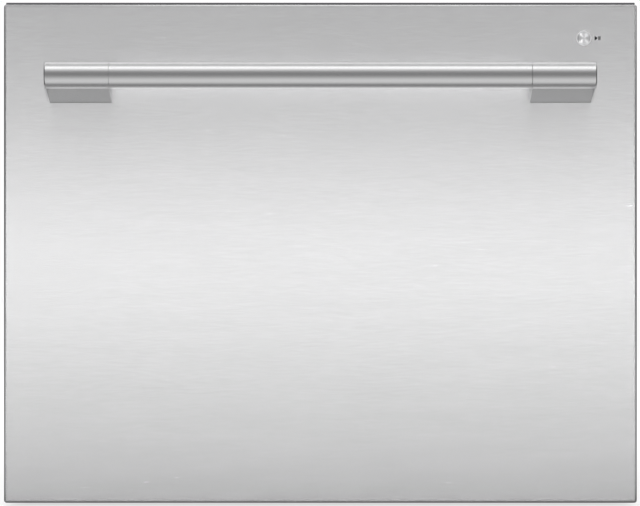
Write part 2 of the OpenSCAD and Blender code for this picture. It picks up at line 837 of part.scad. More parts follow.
// The rack's front and rear.
module rack_ends() {
  color(wire) for (s = [-1, 1]) {
    for (z = side_z)
      bar_x(-rack_x - wr, rack_x + wr, s * rack_y, z);
    for (k = [0:2:floor_n[0]])
      bar_z(wire_at(0, k), s * rack_y, rack_low - wr, rack_top);
  }
}

// The rack's left and right sides, with the clips of the cup shelves.
module rack_sides() {
  color(wire) for (s = [-1, 1]) {
    for (z = side_z)
      bar_y(-rack_y + wr, rack_y - wr, s * rack_x, z);
    for (k = [2:2:floor_n[1] - 2])
      bar_z(s * rack_x, wire_at(1, k), rack_low - wr, rack_top);
    for (t = [-1, 1])
      clip(s * rack_x, t * (cup_l / 2 + 8), shelf_z, "y");
  }
}

module tine_row(i) {
  y = tub_mid + tine_y[i];
  color(wire) {
    rod_x(y, axle_z, tine_x0 + tine_pitch / 2 - 14, tine_x1 - tine_pitch / 2 + 14, wr);
    for (k = [1:tine_count])
      rod_z(tine_x0 + k * tine_pitch, y, axle_z, axle_z + tine_l, wr - 0.2);
  }
}

module cup_shelf(s) {
  n = 5;
  color(wire) on_side(s) {
    rod_y(rack_x, shelf_z, tub_mid - cup_l / 2 - 14, tub_mid + cup_l / 2 + 14, wr);
    bar_y(-cup_l / 2, cup_l / 2, rack_x - cup_w, shelf_z);
    for (k = [1:n - 1])
      bar_y(-cup_l / 2, cup_l / 2, rack_x - cup_w * k / n, shelf_z);
    for (k = [-1, -0.33, 0.33, 1])
      bar_x(rack_x - cup_w, rack_x, k * (cup_l / 2 - wr), shelf_z);
  }
}

basket_x = rack_x - wr - 8 - basket_w;
basket_z = rack_floor + wr + sliding;
basket_corner = 4;
cell = (basket_l - basket_wall) / 3;    // from one wall of a cell to the next
module at_basket() {
  translate([basket_x, tub_mid - basket_l / 2, basket_z]) children();
}

module cutlery_basket() {
  color([0.45, 0.47, 0.50]) at_basket() difference() {
    linear_extrude(basket_h) round_rect([0, basket_w], [0, basket_l], basket_corner);
    translate([0, 0, basket_wall]) linear_extrude(basket_h)
      round_rect([basket_wall, basket_w - basket_wall], [basket_wall, basket_l - basket_wall],
                 basket_corner - basket_wall);
    // Drain holes in the floor.
    for (a = [1:4], b = [1:9])
      rod_z(basket_w * a / 5, basket_l * b / 10, -overcut, basket_wall + overcut, 3);
  }
}

// Two plates part the basket into three cells.
module basket_dividers() {
  color([0.45, 0.47, 0.50]) at_basket() for (k = [1, 2])
    box([basket_wall + sliding, basket_w - basket_wall - sliding], [k * cell, k * cell + basket_wall],
        [basket_wall, basket_h - 4]);
}

// ---------------------------------------------------------------- frame

fix_low = 58;
fix_down = 60;
fix_z = [fix_low, frame_top - fix_down];
fix_y = y_frame + 22;
fix_r = 2.25;
bead_z = [70, 200, 270, 340];
bead_r = 8;
bead_out = 1.4;
bead_in = [50, 60];    // from the side panel's front and rear edges
hem = 9;

module bead(z, x0, x1) {
  along_x(x0, x1) slot([y_frame + bead_in[0], y_rear - bead_in[1]], z, bead_r);
}

frame_screw_y = [y_frame + 14, y_frame + 34, y_rear - 28, y_rear - 10];
frame_screw_x = side_x - flange_w / 2;
module side_panel(s) {
  z0 = foot_h;
  color(zinc) on_side(s) difference() {
    union() {
      box([side_x, frame_w / 2], [y_frame, y_rear], [z0, frame_top]);
      // The front edge is folded back on itself.
      box([side_x - sheet_t, side_x], [y_frame, y_frame + hem],
          [z_tray + tray_lip + 2, frame_top - sheet_t - brace_lip - 1]);
      box([side_x - flange_w, side_x + overcut / 2], [y_frame, y_rear], [z0, z0 + sheet_t]);
      box([side_x - flange_w, side_x + overcut / 2], [y_frame, y_rear], [frame_top - sheet_t, frame_top]);
      for (z = bead_z)
        bead(z, frame_w / 2 - overcut / 2, frame_w / 2 + bead_out);
    }
    for (z = bead_z)
      translate([bead_out - sheet_t, 0, 0]) bead_inner(z);
    for (z = fix_z)
      rod_x(fix_y, z, side_x - overcut, frame_w / 2 + overcut, fix_r);
    for (y = frame_screw_y)
      rod_z(frame_screw_x, y, frame_top - sheet_t - overcut, frame_top + overcut, 2.1);
  }
}

module bead_inner(z) {
  along_x(side_x - 2 * sheet_t, frame_w / 2)
    slot([y_frame + bead_in[0] + sheet_t, y_rear - bead_in[1] - sheet_t], z, bead_r - sheet_t);
}

port_z = 66;
valve_x = -frame_w / 2 + 97;
drain_x = valve_x + 80;
box_x = frame_w / 2 - 107;
module back_panel() {
  color(zinc) difference() {
    union() {
      box([-side_x, side_x], [y_back - sheet_t, y_back], [z_tray, frame_top - 2 * sheet_t]);
      for (s = [-1, 1])
        on_side(s) box([side_x - sheet_t, side_x], [y_back, y_back + 12],
                       [z_tray + tray_lip, frame_top - sheet_t - brace_lip - 1]);
      // Pressed fields stiffen the sheet.
      for (k = [-1, 0, 1])
        along_y(y_back - overcut / 2, y_back + 2)
          round_rect([k * 180 - 76, k * 180 + 76], [150, frame_top - 50], 12);
    }
    for (k = [-1, 0, 1])
      along_y(y_back - 2 * sheet_t, y_back + 2 - sheet_t)
        round_rect([k * 180 - 76 + sheet_t, k * 180 + 76 - sheet_t],
                   [150 + sheet_t, frame_top - 50 - sheet_t], 11);
    rod_y(valve_x, port_z, y_back - 2 * sheet_t, y_back + overcut, 9);
    rod_y(drain_x, port_z, y_back - 2 * sheet_t, y_back + overcut, 9);
    rod_y(box_x, port_z, y_back - 2 * sheet_t, y_back + overcut, 7);
  }
}

module base_tray() {
  z0 = foot_h + sheet_t;
  x = side_x - running;
  color(zinc) {
    difference() {
      box([-x, x], [y_frame + running, y_rear - running], [z0, z0 + sheet_t + tray_lip]);
      box([-x + sheet_t, x - sheet_t], [y_frame + sheet_t, y_rear - sheet_t],
          [z0 + sheet_t, z0 + 2 * tray_lip]);
      // The back panel stands on the tray.
      for (s = [-1, 1])
        box([s * x - 3, s * x + 3], [y_back - sheet_t - sliding, y_back + sliding],
            [z0 + sheet_t, z0 + 2 * tray_lip]);
    }
    // Post that the rear arm of the hose link turns on.
    rod_z(link_x, link_mid, z0 + sheet_t - overcut / 2, z_arm_rear - 0.1, link_pin_r + 5);
    rod_z(link_x, link_mid, z0 + sheet_t - overcut / 2, z_arm_rear + link_t - 0.2, link_pin_r);
  }
}

foot_x = frame_w / 2 - 44;
foot_y = [y_frame + 50, y_rear - 50];
module feet() {
  color(black) for (s = [-1, 1], y = foot_y)
    rod_z(s * foot_x, y, 0, foot_h + sheet_t, foot_d / 2);
}

brace_w = 40;
brace_lip = 4;
module brace(y0) {
  z1 = frame_top - sheet_t;
  color(zinc) difference() {
    union() {
      box([-side_x + running, side_x - running], [y0, y0 + brace_w], [z1 - sheet_t, z1]);
      for (y = [y0, y0 + brace_w - sheet_t])
        box([-side_x + running, side_x - running], [y, y + sheet_t], [z1 - brace_lip, z1]);
    }
    for (s = [-1, 1], y = frame_screw_y)
      rod_z(s * frame_screw_x, y, z1 - 2 * sheet_t - overcut, z1 + overcut, 2.1);
  }
}
module frame_braces() {
  brace(y_frame + 4);
  brace(y_rear - brace_w);
}

module frame_screws() {
  color(zinc) for (s = [-1, 1], y = frame_screw_y) {
    rod_z(s * frame_screw_x, y, frame_top - 4.5, frame_top, 2.05);
    difference() {
      rod_z(s * frame_screw_x, y, frame_top, frame_top + 2.2, 4.2);
      rod_z(s * frame_screw_x, y, frame_top + 1, frame_top + 3, 1.5);
    }
  }
}

// ---------------------------------------------------------------- lid and its lift

module lid_outline(out) {
  round_rect([-in_x - out, in_x + out], [in_y0 - out, in_y1 + out], in_corner + out);
}

module lid() {
  color(pale) {
    difference() {
      translate([0, 0, z_lid]) linear_extrude(lid_t) lid_outline(lid_margin);
      translate([0, 0, z_lid - overcut]) linear_extrude(lid_t - 5 - lid_wall + overcut) lid_outline(-2);
      // The top is sunk between its ribs.
      for (a = [0:3], b = [0:2])
        lid_field(a, b);
    }
  }
}

// One sunk field of the lid's top, by column and row.
module lid_field(a, b) {
  rib = 6;
  w = (2 * in_x - 40) / 4;
  d = (in_y1 - in_y0 - 40) / 3;
  x = -in_x + 20 + a * w;
  y = in_y0 + 20 + b * d;
  translate([0, 0, z_lid_top - 5]) linear_extrude(6)
    round_rect([x + rib / 2, x + w - rib / 2], [y + rib / 2, y + d - rib / 2], 8);
}

module lid_seal() {
  color(black) translate([0, 0, rim_z + sliding]) linear_extrude(seal_h) difference() {
    lid_outline(0.5 + seal_w);
    lid_outline(0.5);
  }
}

pitch_r = gear_module * pinion_teeth / 2;
pinion_y = y_frame + pinion_back;
pinion_z = z_lid + 15.5;
pinion_x0 = lid_x + 1.2;
pinion_w = 6;
pressure = 20;
backlash = 0.24;
base_r = pitch_r * cos(pressure);
tip_r = pitch_r + 0.9 * gear_module;
root_r = pitch_r - 1.2 * gear_module;
function involute(a) = tan(a) * 180 / PI - a;
// Half the angle that a tooth takes up at radius r.
function tooth_half(r) = 90 / pinion_teeth - backlash / 4 / pitch_r * 180 / PI + involute(pressure)
  - involute(r > base_r ? acos(base_r / r) : 0);
tooth_steps = 4;
function tooth_radius(k) = base_r + 0.02 + (tip_r - base_r - 0.02) * k / tooth_steps;
function polar(r, a) = [r * cos(a), r * sin(a)];
tooth_angles = [for (t = [0:pinion_teeth - 1]) t * 360 / pinion_teeth];

// A straight-toothed gear: each tooth goes up one flank and down the other.
module gear_outline() {
  polygon([
    for (a = tooth_angles)
      each concat(
        [polar(root_r, a - tooth_half(base_r))],
        [for (k = [0:tooth_steps]) polar(tooth_radius(k), a - tooth_half(tooth_radius(k)))],
        [for (k = [tooth_steps:-1:0]) polar(tooth_radius(k), a + tooth_half(tooth_radius(k)))],
        [polar(root_r, a + tooth_half(base_r))]
      )
  ]);
}

pin_r = 2.5;
module lid_pinion(s) {
  color(pale) on_side(s) difference() {
    translate([0, pinion_y, pinion_z]) along_x(pinion_x0, pinion_x0 + pinion_w) rotate(180) gear_outline();
    rod_x(pinion_y, pinion_z, pinion_x0 - overcut, pinion_x0 + pinion_w + overcut, pin_r + running);
  }
}

// The rack is fixed to the lid's side and its teeth face the pinion.
module lid_rack(s) {
  pitch = PI * gear_module;
  line = pinion_y - pitch_r;
  half = pitch / 4 - backlash / 4;
  up = 0.9 * gear_module;
  down = 1.2 * gear_module;
  back = line - down - 6;
  count = ceil((lid_lift + 2 * gear_module) / pitch) + 1;
  color(grey) on_side(s) {
    box([lid_x, pinion_x0 + pinion_w], [back, line - down],
        [pinion_z - (count + 0.5) * pitch, pinion_z + 2.5 * pitch]);
    for (k = [-count:2])
      translate([0, 0, pinion_z + (k - 0.5) * pitch]) along_x(pinion_x0 - 0.6, pinion_x0 + pinion_w)
        polygon([
          [line - down - 0.2, -half - down * tan(pressure)], [line - down, -half - down * tan(pressure)],
          [line + up, -half + up * tan(pressure)], [line + up, half - up * tan(pressure)],
          [line - down, half + down * tan(pressure)], [line - down - 0.2, half + down * tan(pressure)]
        ]);
  }
}

module lid_racks() {
  for (s = [-1, 1])
    lid_rack(s);
}

// How far a lid motor's case reaches from its pinion: forward, back, up, and down from the tub's rim.
lid_motor_out = [16, 44, 14, 30];
module lid_motors() {
  x0 = pinion_x0 + pinion_w + 0.8;
  color(dark) for (s = [-1, 1]) on_side(s) {
    along_x(x0, side_x)
      round_rect([pinion_y - lid_motor_out[0], pinion_y + lid_motor_out[1]],
                 [rim_z - lid_motor_out[3], pinion_z + lid_motor_out[2]], 5);
    rod_x(pinion_y, pinion_z, pinion_x0 + 0.2, x0 + overcut, pin_r);
    rod_x(pinion_y, pinion_z, x0 - 0.5, x0 + overcut, 5);
  }
}

// ---------------------------------------------------------------- hose link

// An arm as a flat channel from one pivot to the other, drawn along the x axis.
module arm_plate(hole_a, hole_b) {
  difference() {
    linear_extrude(link_t) {
      circle(link_w / 2);
      translate([link_l, 0]) circle(link_w / 2);
      translate([0, -link_w / 2]) square([link_l, link_w]);
    }
    translate([link_w / 2 + 8, -link_w / 2 + 3, 1.2]) cube([link_l - link_w - 16, link_w - 6, link_t]);
    if (hole_a)
      translate([0, 0, -overcut]) cylinder(h = link_t + 2 * overcut, r = link_pin_r + running);
    if (hole_b)
      translate([link_l, 0, -overcut]) cylinder(h = link_t + 2 * overcut, r = link_pin_r + running);
  }
}

// At rest the arms point back: out to the right, and in again to the tub's bracket.
module link_arm_rear() {
  color([0.30, 0.31, 0.33]) translate([link_x, link_mid, z_arm_rear]) rotate([0, 0, 45]) arm_plate(true, true);
}

module link_arm_front() {
  elbow = [link_x + link_l * cos(45), link_mid + link_l * sin(45)];
  color([0.36, 0.37, 0.39]) translate([elbow[0], elbow[1], z_arm_front]) rotate([0, 0, 135]) {
    arm_plate(false, false);
    translate([0, 0, -link_t - sliding + 0.1]) cylinder(h = link_t + sliding, r = link_pin_r);
    translate([link_l, 0, link_t - overcut / 2]) cylinder(h = overcut / 2 + sliding + 3.4, r = link_pin_r);
  }
}

// ---------------------------------------------------------------- connections and safety switch

thread_r = 13.2;
valve_l = 32;
valve_case = [24, 20, 34, 16];    // half its width, down and up from the port, depth
module inlet_valve() {
  color(pale) {
    along_y(y_back, y_back + valve_case[3])
      round_rect([valve_x - valve_case[0], valve_x + valve_case[0]],
                 [port_z - valve_case[1], port_z + valve_case[2]], 4);
    rod_y(valve_x, port_z, y_back + valve_case[3] - overcut, y_back + valve_case[3] + 2, 17);
    difference() {
      rod_y(valve_x, port_z, y_back + valve_case[3] + 1, y_back + valve_l, thread_r);
      rod_y(valve_x, port_z, y_back + valve_case[3] + 4, y_back + valve_l + overcut, 9);
    }
  }
}

hose_r = 10;
drain_l = 33;
module drain_outlet() {
  color(dark) difference() {
    union() {
      rod_y(drain_x, port_z, y_back, y_back + 5, 2 * hose_r);
      rod_y(drain_x, port_z, y_back + 4, y_back + drain_l, hose_r);
    }
    rod_y(drain_x, port_z, y_back - overcut, y_back + drain_l + overcut, hose_r - 2.5);
  }
}

terminal_case = [34, 22, 28, 24];    // half its width, down and up from the port, depth
gland_l = 9;
gland_off = 14;
lead_r = 4.5;
module terminal_box() {
  y1 = y_back + terminal_case[3];
  gland_x = box_x - gland_off;
  color(dark) difference() {
    union() {
      along_y(y_back, y1)
        round_rect([box_x - terminal_case[0], box_x + terminal_case[0]],
                   [port_z - terminal_case[1], port_z + terminal_case[2]], 5);
      rod_y(gland_x, port_z, y1 - overcut, y1 + gland_l, 2 * lead_r);
    }
    rod_y(gland_x, port_z, y1 - terminal_case[3] / 2, y1 + gland_l + overcut, lead_r);
  }
}

switch_w = 36;
switch_h = 14;
switch_x = -frame_w / 2 + 65;
switch_y = y_frame + 110;
module flood_switch() {
  color(pale) {
    box([switch_x - switch_w / 2, switch_x + switch_w / 2], [switch_y - 20, switch_y + 20],
        [z_tray, z_tray + 4]);
    rod_z(switch_x, switch_y, z_tray + 4 - overcut / 2, z_tray + switch_h, 14);
  }
}

front_skin();
front_liner();
control_strip();
key(0);  // key_power
key(1);  // key_programme
key(2);  // key_delay
start_button();
button_bezel();
start_symbol();
control_module();
handle_bar();
handle_bracket(-1);  // handle_bracket_left
handle_bracket(1);  // handle_bracket_right
handle_screws();
fan_housing();
drying_fan();
tub();
link_bracket();
drawer_rail(-1);  // drawer_rail_left
drawer_rail(1);  // drawer_rail_right
filter_plate();
drain_filter();
wash_motor();
wash_rotor();
spray_arm();
dispenser();
dispenser_door();
rinse_cap();
rack();
rack_ends();
rack_sides();
tine_row(0);  // tine_row_front
tine_row(1);  // tine_row_rear
cup_shelf(-1);  // cup_shelf_left
cup_shelf(1);  // cup_shelf_right
cutlery_basket();
basket_dividers();
mid_rail(-1);  // mid_rail_left
mid_rail(1);  // mid_rail_right
side_panel(-1);  // side_panel_left
side_panel(1);  // side_panel_right
back_panel();
base_tray();
feet();
frame_braces();
frame_screws();
frame_rail(-1);  // frame_rail_left
frame_rail(1);  // frame_rail_right
lid();
lid_seal();
lid_racks();
lid_pinion(-1);  // lid_pinion_left
lid_pinion(1);  // lid_pinion_right
lid_motors();
link_arm_rear();
link_arm_front();
inlet_valve();
drain_outlet();
terminal_box();
flood_switch();
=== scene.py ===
"""Looks of the dishwasher drawer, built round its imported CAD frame."""

import json
import math

import bmesh
import bpy
from mathutils import Matrix, Vector

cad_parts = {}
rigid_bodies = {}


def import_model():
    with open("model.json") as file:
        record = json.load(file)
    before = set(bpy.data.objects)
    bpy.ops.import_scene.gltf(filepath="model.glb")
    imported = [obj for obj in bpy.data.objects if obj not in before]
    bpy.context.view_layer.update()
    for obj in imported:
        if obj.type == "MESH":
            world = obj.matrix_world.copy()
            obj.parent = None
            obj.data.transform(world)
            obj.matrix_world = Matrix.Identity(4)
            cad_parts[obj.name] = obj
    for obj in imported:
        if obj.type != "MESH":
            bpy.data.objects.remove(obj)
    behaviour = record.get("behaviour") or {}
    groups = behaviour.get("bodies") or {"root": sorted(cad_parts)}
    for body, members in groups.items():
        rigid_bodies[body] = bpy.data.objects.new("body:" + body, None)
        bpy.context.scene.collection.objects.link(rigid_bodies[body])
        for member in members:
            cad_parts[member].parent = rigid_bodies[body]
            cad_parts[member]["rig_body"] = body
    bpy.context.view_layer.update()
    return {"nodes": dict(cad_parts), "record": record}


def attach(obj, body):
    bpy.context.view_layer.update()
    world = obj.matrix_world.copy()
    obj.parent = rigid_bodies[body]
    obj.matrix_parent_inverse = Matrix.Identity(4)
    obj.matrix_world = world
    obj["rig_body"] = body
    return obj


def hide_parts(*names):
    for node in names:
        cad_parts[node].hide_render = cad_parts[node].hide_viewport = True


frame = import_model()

scene = bpy.context.scene
mm = 0.001
WHITE = (1, 1, 1, 1)

# ---------------------------------------------------------------- camera, light and floor

FACE_Y = -256.4 * mm


def put_camera():
    """The photograph's camera: far off, level, and straight in front."""
    camera = bpy.data.objects.new("camera", bpy.data.cameras.new("camera"))
    camera.data.sensor_width = 36
    camera.data.lens = 208.06
    camera.data.shift_y = -0.0003
    camera.data.clip_end = 100
    camera.location = (-0.0004, -3.756, 0.2398)
    camera.rotation_euler = (math.radians(90), 0, 0)
    scene.collection.objects.link(camera)
    scene.camera = camera


put_camera()


def shader_tree(owner):
    """An emptied node tree of a material or world."""
    owner.use_nodes = True
    owner.node_tree.nodes.clear()
    return owner.node_tree


def node(tree, kind, inputs=None, **settings):
    """Adds a node. An input is a constant, or a socket that feeds it."""
    made = tree.nodes.new(kind)
    for key, value in settings.items():
        setattr(made, key, value)
    for key, value in (inputs or {}).items():
        if isinstance(value, bpy.types.NodeSocket):
            tree.links.new(value, made.inputs[key])
        else:
            made.inputs[key].default_value = value
    return made


def maths(tree, operation, *values, clamp=False):
    made = node(tree, "ShaderNodeMath", dict(enumerate(values)), operation=operation, use_clamp=clamp)
    return made.outputs[0]


def ramp(tree, factor, stops):
    """Grey levels at given places of a factor from nought to one."""
    made = node(tree, "ShaderNodeValToRGB", {0: factor})
    points = made.color_ramp.elements
    while len(points) < len(stops):
        points.new(0.5)
    for point, (place, level) in zip(points, stops):
        point.position = place
        point.color = (level, level, level, 1)
    return made.outputs[0]


def white_studio():
    """White for what sees the background, softer for what it lights."""
    scene.world = bpy.data.worlds.new("studio")
    tree = shader_tree(scene.world)
    path = node(tree, "ShaderNodeLightPath")
    seen = maths(tree, "MAXIMUM", path.outputs["Is Camera Ray"], path.outputs["Is Glossy Ray"])
    seen = maths(tree, "MAXIMUM", seen, path.outputs["Is Transmission Ray"])
    shown = node(tree, "ShaderNodeBackground", {"Color": WHITE, "Strength": 1.0})
    light = node(tree, "ShaderNodeBackground", {"Color": WHITE, "Strength": 0.55})
    mixed = node(tree, "ShaderNodeMixShader", {0: seen, 1: light.outputs[0], 2: shown.outputs[0]})
    node(tree, "ShaderNodeOutputWorld", {"Surface": mixed.outputs[0]})
    scene.world.cycles.sampling_method = "NONE"


def softbox(name, place, target, width, height, radiance, only=None, shaded_by=None, in_metal=True):
    """A plain area lamp that the camera doesn't see. It may light and be shaded by a few pieces alone."""
    data = bpy.data.lights.new(name, "AREA")
    data.shape = "RECTANGLE"
    data.size = width
    data.size_y = height
    data.energy = radiance * math.pi * width * height
    lamp = bpy.data.objects.new(name, data)
    lamp.location = place
    aim = Vector(target) - Vector(place)
    lamp.rotation_euler = aim.to_track_quat("-Z", "Y").to_euler()
    lamp.visible_camera = False
    lamp.visible_glossy = in_metal
    scene.collection.objects.link(lamp)
    if only:
        lamp.light_linking.receiver_collection = only
        lamp.light_linking.blocker_collection = shaded_by or only
    return lamp


def staged(name, bm, material):
    """A thing of the studio, which isn't part of the machine."""
    mesh = bpy.data.meshes.new(name)
    bm.to_mesh(mesh)
    bm.free()
    mesh.materials.append(material)
    obj = bpy.data.objects.new(name, mesh)
    scene.collection.objects.link(obj)
    return obj


def pale_floor():
    """A pale floor. Polished steel sees it as a glowing sheet with painted shade: dark next to the machine's
    foot and darker far away.
    """
    foot_x, foot_y = 0.30, 0.26
    material = bpy.data.materials.new("pale_floor")
    tree = shader_tree(material)
    path = node(tree, "ShaderNodeLightPath")
    place = node(tree, "ShaderNodeTexCoord").outputs["Object"]
    apart = node(tree, "ShaderNodeSeparateXYZ", {0: place})
    aside = maths(tree, "SUBTRACT", maths(tree, "ABSOLUTE", apart.outputs["X"]), foot_x)
    ahead = maths(tree, "SUBTRACT", maths(tree, "ABSOLUTE", apart.outputs["Y"]), foot_y)
    away = maths(tree, "MAXIMUM", aside, ahead)
    # Painted shade for steel: dark next to the machine's foot, where a contact shadow would be, and darker far
    # away.
    near = ramp(tree, maths(tree, "MULTIPLY", away, 2.0, clamp=True),
                [(0.02, 0.18), (0.17, 0.20), (0.34, 0.58), (0.52, 0.73), (0.70, 0.79), (0.94, 0.76)])
    far = ramp(tree, maths(tree, "DIVIDE", away, 8.0, clamp=True),
               [(0.058, 1.0), (0.08, 0.93), (0.11, 0.75), (0.165, 0.57), (0.31, 0.44), (0.6, 0.38)])
    level = maths(tree, "MULTIPLY", near, far)
    paint = node(tree, "ShaderNodeBsdfDiffuse", {"Color": (0.56, 0.56, 0.56, 1)})
    glow = node(tree, "ShaderNodeEmission", {"Color": WHITE, "Strength": 0.68})
    lifted = node(tree, "ShaderNodeAddShader", {0: paint.outputs[0], 1: glow.outputs[0]})
    mirrored_with_painted_shade = node(tree, "ShaderNodeEmission", {"Color": WHITE, "Strength": level})
    for_camera = node(tree, "ShaderNodeMixShader",
                      {0: path.outputs["Is Camera Ray"], 1: paint.outputs[0], 2: lifted.outputs[0]})
    mixed = node(tree, "ShaderNodeMixShader",
                 {0: path.outputs["Is Glossy Ray"], 1: for_camera.outputs[0], 2: mirrored_with_painted_shade.outputs[0]})
    node(tree, "ShaderNodeOutputMaterial", {"Surface": mixed.outputs[0]})
    bm = bmesh.new()
    bmesh.ops.create_circle(bm, cap_ends=True, segments=96, radius=16)
    staged("floor", bm, material)


def grey_wall():
    """A round wall that only polished surfaces see, dark low down and light above."""
    radius, tall = 5, 10
    material = bpy.data.materials.new("grey_wall")
    tree = shader_tree(material)
    place = node(tree, "ShaderNodeTexCoord").outputs["Object"]
    high = node(tree, "ShaderNodeSeparateXYZ", {0: place}).outputs["Z"]
    high = maths(tree, "DIVIDE", high, tall, clamp=True)
    level = ramp(tree, high, [(0.04, 0.26), (0.10, 0.22), (0.175, 0.24), (0.253, 0.28), (0.345, 0.38),
                              (0.463, 0.63), (0.62, 0.95), (0.9, 1.0), (0.99, 0.36)])
    glow = node(tree, "ShaderNodeEmission", {"Color": level, "Strength": 1.0})
    node(tree, "ShaderNodeOutputMaterial", {"Surface": glow.outputs[0]})
    bm = bmesh.new()
    bmesh.ops.create_cone(bm, cap_ends=True, segments=64, radius1=radius, radius2=radius, depth=tall,
                          matrix=Matrix.Translation((0, 0, tall / 2)))
    bmesh.ops.delete(bm, geom=[f for f in bm.faces if f.calc_center_median().z < 0.1], context="FACES_ONLY")
    wall = staged("grey_wall", bm, material)
    wall.visible_camera = False
    wall.visible_diffuse = False
    wall.visible_shadow = False
    wall.visible_volume_scatter = False


def black_flag(name, corners):
    """A black card beside the front that only polished edges see."""
    material = bpy.data.materials.new(name)
    tree = shader_tree(material)
    glow = node(tree, "ShaderNodeEmission", {"Color": (0.01, 0.01, 0.01, 1), "Strength": 1.0})
    node(tree, "ShaderNodeOutputMaterial", {"Surface": glow.outputs[0]})
    bm = bmesh.new()
    bm.faces.new([bm.verts.new(c) for c in corners])
    card = staged(name, bm, material)
    card.visible_camera = False
    card.visible_diffuse = False
    card.visible_shadow = False


panel_only = bpy.data.collections.new("front panel alone")
bar_only = bpy.data.collections.new("bar alone")
brackets_only = bpy.data.collections.new("brackets alone")
handle_only = bpy.data.collections.new("handle alone")
button_only = bpy.data.collections.new("button alone")
ring_only = bpy.data.collections.new("button ring alone")

white_studio()
pale_floor()
grey_wall()
softbox("overhead", (0, -1.40, 3.4), (0, -1.40, 0), 4.2, 1.40, 1.05)
softbox("left_side", (-3.2, -2.2, 1.8), (0, 0, 0.25), 2.0, 2.0, 0.9, in_metal=False)
softbox("right_side", (3.2, -2.2, 1.8), (0, 0, 0.25), 2.0, 2.0, 0.7, in_metal=False)
softbox("behind", (0, 3.6, 2.2), (0, 0, 0.25), 2.4, 1.6, 0.7, in_metal=False)
softbox("panel_wash", (0, -3.4, 0.35), (0, 0, 0.25), 2.8, 2.2, 0.18, only=panel_only)
softbox("panel_strip", (0, -1.12, 0.235), (0, 0, 0.235), 1.2, 0.10, 3.0, only=panel_only)
softbox("panel_floor", (0, -0.56, 0.004), (0, -0.56, 1.0), 1.0, 0.42, 0.01, only=panel_only)
softbox("panel_toe", (0, -0.31, 0.002), (0, -0.31, 1.0), 0.8, 0.08, 0.25, only=panel_only)
softbox("panel_head", (0, -1.5, 1.7), (0, -0.256, 0.45), 1.8, 0.9, 0.6, only=panel_only,
        shaded_by=brackets_only)
softbox("behind_bar", (0, -0.2600, 0.365), (0, -1.0, 0.365), 0.395, 0.07, 0.35, only=bar_only)
softbox("behind_brackets", (0, -0.2600, 0.363), (0, -1.0, 0.363), 0.515, 0.055, 0.30, only=brackets_only)
softbox("line_behind", (0, 0.79, 3.3), (0, -0.3, 0.4), 4.2, 0.26, 2.2, only=handle_only)
softbox("button_front", (0.249, -2.2, 0.443), (0.249, 0, 0.443), 2.4, 2.4, 0.30, only=button_only)
softbox("button_right", (1.0, -3.1, 1.27), (0.249, -0.257, 0.443), 0.35, 0.35, 17.0, only=button_only)
softbox("button_low", (0.72, -1.70, 0.10), (0.249, -0.257, 0.443), 0.2, 0.2, 13.0, only=button_only)
softbox("ring_front", (0.249, -2.2, 0.443), (0.249, 0, 0.443), 3.0, 3.0, 1.1, only=ring_only)
flag_front, flag_rear, flag_top = -0.40, -0.19, 0.56
for side, x in (("left", -0.42), ("right", 0.42)):
    black_flag(side + "_flag", [(x, flag_front, 0), (x, flag_rear, 0), (x, flag_rear, flag_top),
                                (x, flag_front, flag_top)])

# ---------------------------------------------------------------- effects that finishes share


def effect(name, inputs, outputs):
    """A node group with named sockets. A tuple of three is a vector."""
    tree = bpy.data.node_groups.new(name, "ShaderNodeTree")
    for key, value in inputs.items():
        kind = "NodeSocketVector" if isinstance(value, tuple) else "NodeSocketFloat"
        socket = tree.interface.new_socket(key, in_out="INPUT", socket_type=kind)
        socket.default_value = value
    for key in outputs:
        tree.interface.new_socket(key, in_out="OUTPUT", socket_type="NodeSocketFloat")
    return tree, tree.nodes.new("NodeGroupInput"), tree.nodes.new("NodeGroupOutput")


def brush_grain_effect():
    """Fine scratches drawn out along one direction."""
    tree, given, out = effect("brush_grain", {"Vector": (0, 0, 0), "Fineness": (40, 4000, 4000)},
                              ["Scratches", "Drift"])
    drawn = node(tree, "ShaderNodeVectorMath", {0: given.outputs["Vector"], 1: given.outputs["Fineness"]},
                 operation="MULTIPLY").outputs[0]
    fine = node(tree, "ShaderNodeTexNoise", {"Vector": drawn, "Scale": 1.0, "Detail": 3.0, "Roughness": 0.6})
    slow = node(tree, "ShaderNodeVectorMath", {0: drawn, 1: (0.12, 0.06, 0.06)},
                operation="MULTIPLY").outputs[0]
    broad = node(tree, "ShaderNodeTexNoise", {"Vector": slow, "Scale": 1.0, "Detail": 2.0, "Roughness": 0.5})
    tree.links.new(fine.outputs[0], out.inputs["Scratches"])
    tree.links.new(broad.outputs[0], out.inputs["Drift"])
    return tree


def moulded_grain_effect():
    """The fine pebbled skin of a moulded part, and the slow shade drift of its plastic."""
    tree, given, out = effect("moulded_grain", {"Vector": (0, 0, 0), "Pebbles": 900.0}, ["Height", "Drift"])
    pebble = node(tree, "ShaderNodeTexVoronoi",
                  {"Vector": given.outputs["Vector"], "Scale": given.outputs["Pebbles"], "Randomness": 1.0},
                  feature="SMOOTH_F1")
    small = node(tree, "ShaderNodeTexNoise",
                 {"Vector": given.outputs["Vector"], "Scale": given.outputs["Pebbles"], "Detail": 2.0})
    height = maths(tree, "MULTIPLY_ADD", small.outputs[0], 0.4, pebble.outputs["Distance"])
    slow = node(tree, "ShaderNodeTexNoise", {"Vector": given.outputs["Vector"], "Scale": 14.0, "Detail": 3.0})
    tree.links.new(height, out.inputs["Height"])
    tree.links.new(slow.outputs[0], out.inputs["Drift"])
    return tree


